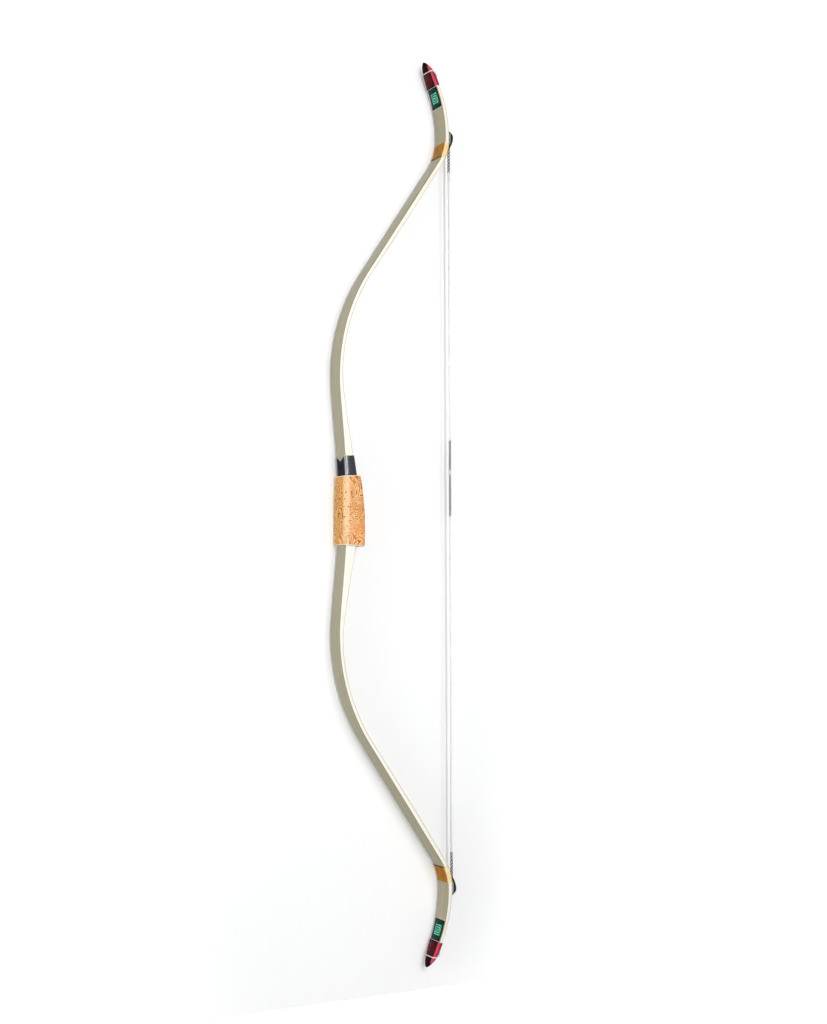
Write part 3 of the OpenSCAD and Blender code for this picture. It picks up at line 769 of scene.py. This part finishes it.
def bridge_block():
    """Grey horn with pale streaks near the limb, under black lacquer toward the rim and both ends."""
    look = Finish("bridge_block", Specular_IOR_Level=0.06)
    streaks = look.shared(FIBRES, Place=look.place, Along=60.0, Across=900.0)
    worn = look.shared(HANDLING, Place=look.place, Scale=120.0)
    horn = look.mix(streaks["Streaks"], rgb(92, 95, 94), rgb(188, 190, 184))
    horn = look.tint(horn, 0.4, worn["Tone"], rgb(122, 122, 115))
    rise = look.math("SUBTRACT", look.depth, belly(SEAT))
    ramp = look.below(look.station, BRIDGE + 0.3 * BRIDGE_RUN, BRIDGE + 0.45 * BRIDGE_RUN)
    head = look.between(look.station, BRIDGE + 0.84 * BRIDGE_RUN, BRIDGE + 0.92 * BRIDGE_RUN)
    black = look.any_of(look.between(rise, 6.3 * MM, 7 * MM), ramp, head)
    look.set("Base Color", look.mix(black, horn, rgb(18, 19, 22)))
    look.set("Coat Weight", look.math("MULTIPLY", black, 0.3))
    look.rough(black, 0.42, 0.2)
    look.bump(look.math("ADD", streaks["Streaks"], black), 0.05 * MM)
    return look.material


def cherry_lacquer():
    """Red lacquer with fine flakes and dark at the belly, with a painted pink highlight along the corners
    of its back, and a painted dark reflection, almost black, on the back of the nose.
    """
    look = Finish("cherry_lacquer", Coat_Roughness=0.05, Specular_IOR_Level=0.02)
    flakes = look.shared(HANDLING, Place=look.solid, Scale=900.0)
    slow = look.shared(HANDLING, Place=look.solid, Scale=70.0)
    red = look.mix(slow["Tone"], rgb(150, 20, 46), rgb(186, 34, 66))
    red = look.tint(red, 0.5, flakes["Specks"], rgb(244, 96, 128))
    red = look.tint(red, 0.75, look.between(look.depth, 2.5 * MM, 6.5 * MM), rgb(112, 10, 28))
    # Painted highlight: lighter pink along the corners between the back and the sides.
    edge = look.all_of(look.near(look.depth, 0.0, 2.2 * MM), look.below(look.inset, 2 * MM, 4 * MM))
    red = look.tint(red, 0.7, edge, rgb(224, 70, 100))
    # Painted reflection: the cap's back, away from its sides, is painted almost black. The red panel covers
    # it except on the nose.
    dark = look.all_of(look.below(look.depth, -0.7 * MM, 0.4 * MM),
                       look.between(look.inset, 1.5 * MM, 4.5 * MM))
    look.set("Base Color", look.mix(dark, red, rgb(20, 2, 6)))
    look.polished(0.0, 0.4, 4 * MM)
    look.rough(flakes["Tone"], 0.16, 0.3)
    look.bump(slow["Tone"], 0.03 * MM)
    return look.material


PANEL_MIDDLE = (PANEL + CAP) / 2
CAP_MIDDLE = (CAP + NOCK) / 2


def green_panel():
    """Black lacquer with broken square rings in mint and dark green, one inside the other."""
    look = Finish("green_panel", Coat_Roughness=0.06, Specular_IOR_Level=0.04)
    away = look.apart(look.station, PANEL_MIDDLE)
    steps = look.any_of(look.math("FLOOR", look.math("DIVIDE", away, 1.5 * MM)),
                        look.math("FLOOR", look.math("DIVIDE", look.side, 1.6 * MM)))
    worn = look.shared(HANDLING, Place=look.place, Scale=120.0)
    open_side = look.any_of(look.between(away, 1.4 * MM, 1.6 * MM),
                            look.below(look.side, 7.8 * MM, 8.2 * MM))
    rings = [look.near(steps, ring, 0.9) for ring in (0.0, 2.0, 4.0)]
    bright = look.all_of(look.any_of(*rings), open_side)
    dull = look.all_of(look.near(steps, 6.0, 0.9), look.between(look.side, 1.4 * MM, 1.6 * MM))
    far = look.all_of(look.near(steps, 8.0, 0.9), look.below(look.side, 8 * MM, 8.2 * MM))
    ground = look.mix(worn["Tone"], rgb(6, 13, 12), rgb(12, 26, 23))
    ground = look.tint(ground, 0.6, look.any_of(dull, far), rgb(26, 100, 78))
    mint = look.mix(worn["Tone"], rgb(80, 214, 168), rgb(150, 250, 214))
    tone = look.tint(ground, 0.95, bright, mint)
    look.set("Base Color", look.tint(tone, 0.3, worn["Specks"], rgb(120, 170, 150)))
    look.polished(0.01, 0.3, 2.5 * MM)
    look.rough(bright, 0.18, 0.3)
    look.bump(bright, 0.03 * MM)
    return look.material


def red_panel():
    """Black lacquer with a mottled diaper in deep red, stronger toward its middle."""
    look = Finish("red_panel", Coat_Roughness=0.06, Specular_IOR_Level=0.04)
    pitch = 2.3 * MM
    rows = []
    for sign in ("ADD", "SUBTRACT"):
        slant = look.math(sign, look.station, look.side)
        rows.append(look.shared(WINDING, Along=slant, Pitch=pitch)["Gap"])
    diaper = look.any_of(*rows)
    mottle = look.shared(HANDLING, Place=look.place, Scale=230.0)
    middle = look.all_of(look.between(look.side, 5 * MM, 12 * MM, 1.0, 0.25),
                         look.between(look.apart(look.station, CAP_MIDDLE), 4 * MM, 11 * MM, 1.0, 0.35))
    ground = look.mix(look.all_of(mottle["Tone"], middle), rgb(10, 2, 3), rgb(88, 5, 14))
    drawn = look.all_of(diaper, middle, look.between(mottle["Tone"], 0.0, 1.0, 0.5, 1.0))
    tone = look.mix(drawn, ground, rgb(134, 12, 26))
    look.set("Base Color", look.tint(tone, 0.4, mottle["Specks"], rgb(186, 40, 56)))
    look.polished(0.01, 0.3, 2.5 * MM)
    look.rough(diaper, 0.16, 0.28)
    look.bump(diaper, 0.02 * MM)
    return look.material


def silver_line():
    """Thin inlaid line of pale metal foil."""
    look = Finish("silver_line", Metallic=0.5)
    brushed = look.shared(FIBRES, Place=look.place, Along=900.0, Across=40.0)
    look.set("Base Color", look.mix(brushed["Streaks"], rgb(202, 203, 200), rgb(238, 238, 234)))
    look.rough(brushed["Streaks"], 0.25, 0.4)
    look.bump(brushed["Streaks"], 0.01 * MM)
    return look.material


def white_string():
    """Waxed white strands with fine filaments and a little handling dirt."""
    look = Finish("string", Sheen_Weight=0.1)
    filaments = look.shared(FIBRES, Place=look.solid, Along=2600.0, Across=420.0)
    worn = look.shared(HANDLING, Place=look.solid, Scale=130.0)
    tone = look.mix(filaments["Streaks"], rgb(222, 226, 228), rgb(246, 248, 247))
    tone = look.tint(tone, 0.25, worn["Tone"], rgb(232, 230, 220))
    look.set("Base Color", look.tint(tone, 0.3, worn["Specks"], rgb(186, 184, 174)))
    look.rough(worn["Tone"], 0.4, 0.6)
    look.bump(filaments["Streaks"], 0.04 * MM)
    return look.material


def braided_serving():
    """Glossy black serving with pale tracer yarns that climb round it at a slant."""
    look = Finish("serving", Coat_Weight=0.03, Coat_Roughness=0.15, Specular_IOR_Level=0.1)
    x, y, z = look.parts(look.solid)
    turn = look.math("ARCTAN2", y, look.math("SUBTRACT", x, STRING_X))
    rows = look.math("SUBTRACT", look.math("DIVIDE", z, TRACER_PITCH),
                     look.math("MULTIPLY", turn, TRACERS / (2 * math.pi)))
    tracer = look.between(look.math("SINE", look.math("MULTIPLY", rows, 2 * math.pi)), -0.1, 0.2)
    yarns = look.shared(FIBRES, Place=look.solid, Along=1800.0, Across=1800.0)
    worn = look.shared(HANDLING, Place=look.solid, Scale=220.0)
    black = look.mix(yarns["Streaks"], rgb(6, 7, 8), rgb(22, 24, 27))
    pale = look.mix(yarns["Streaks"], rgb(228, 231, 234), rgb(252, 253, 253))
    tone = look.tint(black, 0.92, tracer, pale)
    look.set("Base Color", look.tint(tone, 0.3, worn["Specks"], rgb(120, 122, 126)))
    look.rough(worn["Tone"], 0.25, 0.45)
    look.bump(yarns["Streaks"], 0.03 * MM)
    return look.material


LOOKS = {
    "khaki_glass": khaki_glass(),
    "maple": maple(),
    "burl_print": burl_print(),
    "black_leather": black_leather(),
    "amber_wrap": amber_wrap(),
    "dark_thread": dark_thread(),
    "bridge_block": bridge_block(),
    "cherry_lacquer": cherry_lacquer(),
    "green_panel": green_panel(),
    "red_panel": red_panel(),
    "silver_line": silver_line(),
    "string": white_string(),
    "serving": braided_serving(),
}


# The laminated limbs, which bend from the handle to the ears

LAYER_STEP = 6 * MM
# Each limb's layers start just off the middle, so that their stations have the limb's sign
OFF_MIDDLE = 0.01 * MM
# The wedge ends this far before it would thin out to nothing
FEATHER = 2 * MM
GLASS_ROUND = 0.45 * MM


def bend(piece):
    """Applies a piece's place to its mesh."""
    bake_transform(piece)


def layer(name, side, near, far, last=CORE_END):
    """One lamination from the middle of the grip to the ear's end."""
    sign = SIDES[side]
    run = [sign * s for s in stations(OFF_MIDDLE, last, LAYER_STEP)]
    return loft(f"{side}_{name}", [(s, near(s), far(s), half(s), 0.0) for s in run])


for side in SIDES:
    glass = layer("back_lamination", side, lambda s: 0.0, lambda s: BACK_GLASS)
    round_long_edges(glass, GLASS_ROUND, lambda depth: depth < BACK_GLASS / 2)
    bend(finish(glass, "khaki_glass"))
    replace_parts(glass, side + "_back_glass")

    core = layer("core_lamination", side, lambda s: BACK_GLASS, lambda s: limb(s) - BELLY_GLASS)
    bend(finish(core, "maple"))
    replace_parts(core, side + "_limb_core", side + "_ear_core")
    if side == "upper":
        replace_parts(core, "handle_lamination")

    fade_end = FADE[side] + FADE_RUN - FEATHER
    block = layer("riser_half", side, lambda s: limb(s) - BELLY_GLASS,
                  lambda s: belly(s) - BELLY_GLASS, last=fade_end)
    bend(finish(block, "maple"))
    if side == "upper":
        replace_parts(block, "riser_wedge")

    under = layer("belly_lamination", side, lambda s: belly(s) - BELLY_GLASS, belly)
    round_long_edges(under, GLASS_ROUND)
    bend(finish(under, "khaki_glass"))
    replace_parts(under, side + "_belly_glass")


# The grip

def way_down(station):
    """How far down the sleeve a station lies, from 0 to 1."""
    return min(1.0, max(0.0, (SLEEVE_TOP - station) / (SLEEVE_TOP - SLEEVE_BOTTOM)))


def swelling(station):
    """How much of the full swell a station has, from 0 to 1."""
    return math.sin(math.pi / 2 * way_down(station)) ** 0.75


def swell(station):
    """Depth of the palm swell's face toward the string."""
    return SWELL_TOP + (SWELL_BOTTOM - SWELL_TOP) * swelling(station)


def tube(name, first, last, outer, inner, step):
    """A sleeve round the bow: outer(s) and inner(s) give near depth, far depth, half width, radius."""
    run = stations(first, last, step)
    sections = [(s, *outer(s)) for s in run] + [(s, *inner(s)) for s in reversed(run)]
    return loft(name, sections, joined=True)


def sleeve_outside(s):
    back = SLEEVE + BACK_SWELL * math.sin(math.pi * way_down(s))
    return -back, swell(s) + SLEEVE, half(s) + SLEEVE + SIDE_SWELL * swelling(s), SLEEVE_ROUND


def sleeve_inside(s):
    return 0.0, swell(s), half(s), INSIDE_ROUND


sleeve = tube("grip_cover", SLEEVE_BOTTOM, SLEEVE_TOP, sleeve_outside, sleeve_inside, step=3 * MM)
ease(sleeve, width=0.7 * MM, angle=60, segments=3)
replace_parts(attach(finish(sleeve, "burl_print"), "handle"), "grip_sleeve")


def leather_outside(s):
    return -LEATHER_T, belly(s) + LEATHER_T, half(s) + LEATHER_T, LEATHER_ROUND


def leather_inside(s):
    return 0.0, belly(s), half(s), INSIDE_ROUND


leather = tube("arrow_pass", SLEEVE_TOP + LEATHER_GAP, SLEEVE_TOP + LEATHER_H,
               leather_outside, leather_inside, step=3 * MM)


def notch_cutter():
    """A prism whose point goes down into the leather's top edge, on the back only."""
    top = spot(SLEEVE_TOP + LEATHER_H, 0.0)
    deselect()
    bpy.ops.mesh.primitive_cone_add(vertices=4, radius1=NOTCH_HALF, radius2=NOTCH_HALF,
                                    depth=NOTCH_CUT, location=top, rotation=(0, math.pi / 2, 0))
    cutter = bpy.context.object
    cutter.scale = (NOTCH / NOTCH_HALF, 1, 1)
    return done(cutter)


cut(leather, notch_cutter())
ease(leather, width=0.35 * MM, angle=50)
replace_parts(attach(finish(leather, "black_leather"), "handle"), "arrow_pass_leather")


# The knee: band, dark line, bridge and its cover

def knee_band():
    def outside(s):
        return -BAND_T, belly(s) + BAND_T, half(s) + BAND_T, BAND_ROUND

    def inside(s):
        return 0.0, belly(s), half(s), BORE_ROUND

    band = tube("upper_band", BAND, BAND_END, outside, inside, step=2.5 * MM)
    return ease(band, width=0.15 * MM, angle=60)


def knee_line():
    """Turns of dark thread laid side by side across the back."""
    width = LINE_RUN / LINE_TURNS
    made = []
    for i in range(LINE_TURNS):
        station = BAND - width * (i + 0.5)
        made.append(rod(width / 2, 2 * half(station), spot(station, -width / 2), vertices=12))
    return ease(join(made, "upper_knee_line"), width=0.1 * MM, angle=60)


def cheek(t):
    """Height of the bridge's cheeks along its length, as a share of the highest."""
    if t < CHEEK_PEAK:
        return CHEEK_FOOT + (1 - CHEEK_FOOT) * math.sin(math.pi / 2 * t / CHEEK_PEAK)
    return max(0.0, math.cos(math.pi / 2 * (t - CHEEK_PEAK) / (1 - CHEEK_PEAK))) ** 0.6


def seat_slot(origin, direction, length):
    """A round-bottomed slot along the string. Its side away from the limb is drawn out past the
    cheeks, so that it is open there."""
    room = STRING_R + SERVING_T + SEAT_GAP
    deselect()
    bpy.ops.mesh.primitive_cylinder_add(vertices=24, radius=room, depth=length)
    slot = bpy.context.object
    edit(slot)
    mesh = bmesh.from_edit_mesh(slot.data)
    for vertex in mesh.verts:
        vertex.select_set(vertex.co.x > 0.1 * MM)
    bmesh.update_edit_mesh(slot.data)
    bpy.ops.transform.translate(value=(2 * CHEEK_H, 0, 0))
    bpy.ops.object.mode_set(mode="OBJECT")
    slot.location = origin + direction * (length / 2)
    slot.rotation_euler = (0, math.atan2(direction.x, direction.z), 0)
    return done(slot)


CHEEK_STEPS, CHEEK_LAST = 22, 0.985


def bridge():
    """The grey block and its black cover, both with the string's slot through them."""
    run = [i / CHEEK_STEPS for i in range(CHEEK_STEPS)] + [CHEEK_LAST]
    low, top = CHEEK_H - COVER_T, CHEEK_H
    made = []
    for name, near, far in (("upper_bridge", 0.0, low), ("upper_bridge_top", low, top)):
        sections = []
        for t in run:
            s = BRIDGE + BRIDGE_RUN * t
            base = belly(s)
            sections.append((s, base + near * cheek(t), base + far * cheek(t), BRIDGE_W / 2, 0.0))
        block = loft(name, sections)
        cut(block, seat_slot(TURN - UP * BRIDGE_RUN, UP, BRIDGE_RUN))
        cut(block, seat_slot(TURN - ALONG * 2 * BRIDGE_RUN, ALONG, 2 * BRIDGE_RUN))
        made.append(ease(block, width=0.5 * MM, angle=40, segments=3))
    return made


# The slot and the node of each piece that rides on a limb
ON_LIMBS = {
    "band": ("amber_wrap", "knee_band"),
    "knee_line": ("dark_thread", "knee_binding"),
    "bridge": ("bridge_block", "string_bridge"),
    "bridge_top": ("black_leather", "bridge_cover"),
    "cap": ("cherry_lacquer", "tip_cap"),
    "green": ("green_panel", "green_panel"),
    "red": ("red_panel", "red_panel"),
    "lines": ("silver_line", "panel_lines"),
}


def place_on_limbs(build):
    """Builds pieces for both limbs and lets them ride there."""
    for side, made in both_limbs(build).items():
        for piece in made:
            slot, node = ON_LIMBS[piece.name.replace(side + "_", "")]
            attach(finish(piece, slot), side + "_limb")
            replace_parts(piece, f"{side}_{node}")


place_on_limbs(lambda: [knee_band(), knee_line()])
place_on_limbs(bridge)


# The tip: cap, panels and pale lines

CAP_T, CAP_ROUND, RIDGE = 1.1 * MM, 2.6 * MM, 0.5 * MM
PANEL_T, PANEL_INSET, PANEL_STEP, LINE = 0.4 * MM, 0.4 * MM, 3 * MM, 0.7 * MM
RIDGE_RUN = 1 * MM
RED_END = NOCK - LOOP_R - SEAT_GAP - RIDGE_RUN
SLANT = NOCK - 8 * MM
BEAK_OUT, BEAK_BLUNT = 1.2 * MM, 2 * MM
# The beak's last section lies short of the point, which its end face closes
BEAK_REACH, BEAK_STEPS = 0.972, 18


def past_nock(s):
    """How far from the nock toward the bow's end a station lies, from 0 to 1."""
    return max(0.0, s - NOCK) / (BOW_END - NOCK)


def cap_back(s):
    """How far the cap's back stands out from the bow's back."""
    if s > NOCK:
        return CAP_T + RIDGE + (BEAK_OUT - CAP_T - RIDGE) * past_nock(s) ** 4
    return float(np.interp(s, [RED_END, RED_END + 0.5 * RIDGE_RUN], [CAP_T, CAP_T + RIDGE]))


def cap_belly(s):
    """Depth of the cap's belly, which slants toward the back."""
    v = max(0.0, s - SLANT) / (BOW_END - SLANT)
    slanting = TIP + CAP_T + BEAK_OUT - BEAK_BLUNT
    return slanting * (1 - v ** 1.15) + BEAK_BLUNT * (1 - v ** 2.3) ** (1 / 2.3) - BEAK_OUT


def cap_half(s):
    narrow = (1 - past_nock(s) ** 1.6) ** (1 / 1.4)
    return narrow * (CAP_T + float(np.interp(s, [CAP, NOCK], [half(CAP), half(NOCK)])))


def tip_cap():
    """A blind sleeve over the ear's end that closes in a beak."""
    sections = [(s, 0.0, belly(s), half(s), BORE_ROUND) for s in (CORE_END, CAP)]
    run = stations(CAP, SLANT, 3 * MM) + stations(SLANT, RED_END, 1.2 * MM)[1:]
    run += [RED_END + 0.2 * RIDGE_RUN, RED_END + 0.5 * RIDGE_RUN]
    beak = (BOW_END - NOCK) * BEAK_REACH
    run += [NOCK + beak * math.sin(math.pi / 2 * i / BEAK_STEPS) for i in range(BEAK_STEPS + 1)]
    for s in run:
        near, far = -cap_back(s), cap_belly(s)
        radius = min(CAP_ROUND, 0.45 * (far - near), 0.9 * cap_half(s))
        sections.append((s, near, far, cap_half(s), radius))
    cap = loft("upper_cap", sections)
    cut(cap, rod(LOOP_R + SEAT_GAP, 2 * HANDLE_W, spot(NOCK, -cap_back(NOCK)), vertices=24))
    return [ease(cap, width=0.25 * MM, angle=50)]


def strip(name, first, last, near, far):
    """A thin plate across the back between two stations."""
    run = stations(first, last, PANEL_STEP)
    return loft(name, [(s, near, far, half(s) - PANEL_INSET, 0.0) for s in run])


def panels():
    green = strip("upper_green", PANEL + LINE, CAP - LINE, -PANEL_T, 0.0)
    red = strip("upper_red", CAP, RED_END, -CAP_T - PANEL_T, -CAP_T)
    pale = [strip("line", s, s + LINE, -PANEL_T, 0.0) for s in (PANEL, CAP - LINE)]
    lines = join(pale, "upper_lines")
    return [ease(piece, width=0.12 * MM, angle=60) for piece in (green, red, lines)]


place_on_limbs(tip_cap)
place_on_limbs(panels)


# The string

FURROW = 0.16
NOCKING_Z = 50 * MM
# Each half of the string stops this far from the nocking point
MEET = 0.15 * MM
STRANDS, STRING_LAY = 8, 26 * MM
LOOP_STRANDS, LOOP_LAY = 6, 14 * MM
BEND_ROOM, BEND_STEPS, STRING_STEP = 3 * MM, 6, 3.5 * MM
SERVING_THREAD = 0.62 * MM
END_SERVING, END_SERVING_GAP = 51 * MM, 1 * MM
SERVING_UP, SERVING_DOWN = 52 * MM, 62 * MM
KNOT_GAP, KNOT_H, KNOT_R, KNOT_THREAD = 1.5 * MM, 6 * MM, 2.4 * MM, 0.8 * MM
# The turns of a coil lie a little closer than the thread is thick
PACKING = 0.98
WOUND_SMOOTH = 80


def strand_profile(radius, strands):
    """A twisted string's outline: round, with a furrow between one strand and the next."""
    deselect()
    bpy.ops.curve.primitive_bezier_circle_add()
    profile = bpy.context.object
    profile.data.dimensions = "2D"
    profile.data.splines.remove(profile.data.splines[0])
    count = strands * 4
    outline = profile.data.splines.new("POLY")
    outline.points.add(count - 1)
    for i, point in enumerate(outline.points):
        angle = 2 * math.pi * i / count
        reach = radius * (1 - FURROW + FURROW * abs(math.sin(angle * strands / 2)))
        point.co = (reach * math.cos(angle), reach * math.sin(angle), 0, 1)
    outline.use_cyclic_u = True
    return profile


def rope(name, points, radius, strands, lay):
    """A string along points that turns once in each lay, with its strands showing."""
    profile = strand_profile(radius, strands)
    curve = bpy.data.curves.new(name, "CURVE")
    curve.dimensions = "3D"
    core = curve.splines.new("POLY")
    core.points.add(len(points) - 1)
    travelled = 0.0
    for i, (point, place) in enumerate(zip(core.points, points)):
        if i:
            travelled += (place - points[i - 1]).length
        point.co = (*place, 1)
        point.tilt = 2 * math.pi * travelled / lay
    curve.bevel_mode = "OBJECT"
    curve.bevel_object = profile
    curve.use_fill_caps = True
    piece = bpy.data.objects.new(name, curve)
    bpy.context.scene.collection.objects.link(piece)
    pick(piece)
    bpy.ops.object.convert(target="MESH")
    bpy.data.objects.remove(profile)
    return outward(bpy.context.object, merge=0.005 * MM)


def coil(name, origin, direction, length, radius, thread):
    """Thread wound closely round the string."""
    turns = round(length / (thread * PACKING))
    deselect()
    bpy.ops.mesh.primitive_circle_add(vertices=6, radius=thread / 2,
                                      location=(radius, 0, 0), rotation=(math.pi / 2, 0, 0))
    piece = done(bpy.context.object)
    piece.name = piece.data.name = name
    screw = piece.modifiers.new("turns", "SCREW")
    screw.axis = "Z"
    screw.angle = 2 * math.pi
    screw.screw_offset = (length - thread) / turns
    screw.iterations = turns
    screw.steps = screw.render_steps = 12
    screw.use_merge_vertices = True
    screw.merge_threshold = 0.002 * MM
    outward(apply_modifiers(piece), merge=0.002 * MM)
    piece.location = origin + direction * (thread / 2)
    piece.rotation_euler = (0, math.atan2(direction.x, direction.z), 0)
    return done(piece)


def straight(a, b):
    """Even points from a to b, both among them."""
    count = max(1, round((b - a).length / STRING_STEP))
    return [a + (b - a) * (i / count) for i in range(count + 1)]


def string_route(sign):
    """One half of the string on the upper side: from the nocking point, which lies off the bow's
    middle, up to the bridge, round its seat and on to the loop."""
    low = Vector((STRING_X, 0, sign * NOCKING_Z + MEET))
    first, second = TURN - UP * BEND_ROOM, TURN - ALONG * BEND_ROOM
    turn = []
    for i in range(1, BEND_STEPS):
        t = i / BEND_STEPS
        turn.append((1 - t) ** 2 * first + 2 * t * (1 - t) * TURN + t * t * second)
    return straight(low, first) + turn + straight(second, JOIN)


def on_side(points, sign):
    """Points of the upper side as they are, or mirrored to the lower one."""
    return [Vector((p.x, p.y, sign * p.z)) for p in points]


for side, sign in SIDES.items():
    route = on_side(string_route(sign), sign)
    string = rope(side + "_bowstring", route, STRING_R, STRANDS, STRING_LAY)
    finish(string, "string", smooth=WOUND_SMOOTH)
    turn, along, up = on_side((TURN, ALONG, UP), sign)
    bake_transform(string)
    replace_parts(string, side + "_string", side + "_end_strand")

    end = coil(side + "_end_wrap", turn - up * (END_SERVING + END_SERVING_GAP), up, END_SERVING,
               STRING_R + SERVING_T / 2, SERVING_THREAD)
    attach(finish(end, "serving", smooth=WOUND_SMOOTH), side + "_string_half")
    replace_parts(end, side + "_end_serving")

    away = SERVING_UP if side == "upper" else SERVING_DOWN
    middle = Vector((STRING_X, 0, NOCKING_Z))
    centre = coil(side + "_centre_wrap", middle + up * MEET, up, away - MEET,
                  STRING_R + SERVING_T / 2, SERVING_THREAD)
    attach(finish(centre, "serving", smooth=WOUND_SMOOTH), side + "_string_half")
    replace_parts(centre, side + "_centre_serving")

knot = coil("nock_knot", Vector((STRING_X, 0, NOCKING_Z + KNOT_GAP)), UP, KNOT_H, KNOT_R, KNOT_THREAD)
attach(finish(knot, "string", smooth=WOUND_SMOOTH), "upper_string_half")
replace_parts(knot, "nocking_knot")


def loop_route():
    """The loop: from the join along the ear's belly, round the cap's edge to its back, and back."""
    clear = LOOP_R + SEAT_GAP
    over = CAP_T + clear
    first = JOIN + Vector((0, LOOP_R + 0.1 * MM, 0))

    def belly_spot(s, beyond, y):
        return spot(s, belly(s) + beyond, y)

    edge = cap_half
    leg = [
        first, first - ALONG * 2 * LOOP_R,
        belly_spot(CAP - 12 * MM, over - 0.4 * MM, 2.2 * MM),
        belly_spot(CAP - 2 * MM, over, 4.4 * MM),
        belly_spot(CAP + 7 * MM, over, 6.6 * MM),
        belly_spot(SLANT - 3 * MM, over, 8.8 * MM),
        belly_spot(NOCK - 6 * MM, over, edge(NOCK - 6 * MM) - 2 * MM),
        belly_spot(NOCK - 3.6 * MM, over - 1 * MM, edge(NOCK - 3.6 * MM) + clear - 0.8 * MM),
        belly_spot(NOCK - 2.2 * MM, -1.2 * MM, edge(NOCK - 2.2 * MM) + clear),
        spot(NOCK - 0.8 * MM, 0.9 * MM, edge(NOCK - 0.8 * MM) + clear),
        spot(NOCK - 0.2 * MM, -1 * MM, edge(NOCK) + clear - 0.4 * MM),
        spot(NOCK, -cap_back(NOCK), edge(NOCK) + clear - 1.8 * MM),
    ]
    other = [Vector((p.x, -p.y, p.z)) for p in reversed(leg)]
    return leg + [spot(NOCK, -cap_back(NOCK))] + other


for side, sign in SIDES.items():
    loop = rope(side + "_loop", on_side(loop_route(), sign), LOOP_R, LOOP_STRANDS, LOOP_LAY)
    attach(finish(loop, "string", smooth=WOUND_SMOOTH), side + "_string_end")
    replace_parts(loop, side + "_nock_loop")


# Floor, backdrop, light and camera

FLOOR, PAPER_SIZE = -0.71, 8.0
BACKDROP_GAP = 0.4 * MM
SHADOW_REACH, HEIGHT_SHARE = 0.25, 0.35
SKY_ON_BOW = 0.3
LAMP_TARGET = (0.05, 0, 0)
CAMERA_PLACE = (-0.9488, -1.9836, -0.132)
YAW, PITCH, ROLL = (math.radians(angle) for angle in (28.0, 3.18, -0.16))
LENS, SENSOR = 53.497, 36


def paper(name, glow):
    """White paper that the camera, mirrors and glass see from its front. It keeps the bow's
    shadow near the bow, and glows white farther off."""
    look = Finish(name, Roughness=0.9, Specular_IOR_Level=0.0, Emission_Strength=1.0)
    flattened = look.scaled(look.solid, (1, 1, HEIGHT_SHARE))
    away = look.add("VectorMath", {0: flattened}, operation="LENGTH").outputs["Value"]
    look.set("Emission Color", look.between(away, SHADOW_REACH, 3 * SHADOW_REACH, glow, 1.0))
    pulp = look.between(look.noise(look.solid, scale=90.0), 0.3, 0.7)
    look.set("Base Color", look.mix(pulp, rgb(248, 249, 250), rgb(252, 252, 252)))
    front = look.math("SUBTRACT", 1.0, look.add("NewGeometry").outputs["Backfacing"])
    clear = look.add("BsdfTransparent").outputs[0]
    shown = look.add("MixShader", {0: look.all_of(look.seen(), front), 1: clear, 2: look.shader.outputs[0]})
    look.links.new(shown.outputs[0], look.nodes["Material Output"].inputs["Surface"])
    return look.material


def sheet_of_paper(name, place, turn, glow):
    deselect()
    bpy.ops.mesh.primitive_plane_add(size=PAPER_SIZE, location=place, rotation=turn)
    sheet = bpy.context.object
    sheet.name = name
    sheet.data.materials.append(paper(name + "_paper", glow))
    done(sheet)


def lamp(name, place, size, power, gloss_only=False):
    """An oblong lamp that faces the bow. With gloss_only it shows as a reflection and no more."""
    light = bpy.data.lights.new(name, "AREA")
    light.shape = "RECTANGLE"
    light.size, light.size_y = size
    light.energy = power
    holder = bpy.data.objects.new(name, light)
    holder.location = place
    holder.visible_diffuse = not gloss_only
    toward_bow = Vector(LAMP_TARGET) - Vector(place)
    holder.rotation_euler = toward_bow.to_track_quat("-Z", "Y").to_euler()
    bpy.context.scene.collection.objects.link(holder)


def world():
    """White to the camera and in reflections, and a soft even light on the bow."""
    sky = bpy.data.worlds.new("studio")
    bpy.context.scene.world = sky
    sky.use_nodes = True
    studio = Nodes(sky.node_tree)
    background = studio.nodes["Background"]
    strength = studio.add("MapRange", {"Value": studio.seen(), "To Min": SKY_ON_BOW, "To Max": 1.0})
    studio.links.new(strength.outputs[0], background.inputs["Strength"])
    background.inputs["Color"].default_value = (1, 1, 1, 1)


def camera():
    """Where the photo was taken from, as the bow's outline shows it."""
    data = bpy.data.cameras.new("view")
    data.lens = LENS
    data.sensor_width = SENSOR
    holder = bpy.data.objects.new("view", data)
    holder.location = CAMERA_PLACE
    level = math.cos(PITCH)
    direction = Vector((math.sin(YAW) * level, math.cos(YAW) * level, math.sin(PITCH)))
    holder.rotation_euler = direction.to_track_quat("-Z", "Y").to_euler()
    holder.rotation_euler.rotate_axis("Z", ROLL)
    bpy.context.scene.collection.objects.link(holder)
    bpy.context.scene.camera = holder


sheet_of_paper("floor", (0, 0, FLOOR), (0, 0, 0), glow=0.63)
behind_bow = (0, cad_box[1][1] + BACKDROP_GAP, FLOOR + PAPER_SIZE / 2)
sheet_of_paper("backdrop", behind_bow, (math.pi / 2, 0, 0), glow=0.11)
world()
lamp("key", (-0.3, -2.5, 0.4), size=(0.22, 1.2), power=28)
lamp("soft", (0.55, -2.5, 0.4), size=(0.7, 1.4), power=16)
lamp("fill", (-2.7, -0.4, -0.2), size=(2.0, 2.0), power=41)
lamp("shine", (0.52, -2.45, 0.1), size=(0.45, 2.2), power=110, gloss_only=True)
camera()
bpy.context.scene.view_settings.view_transform = "Standard"
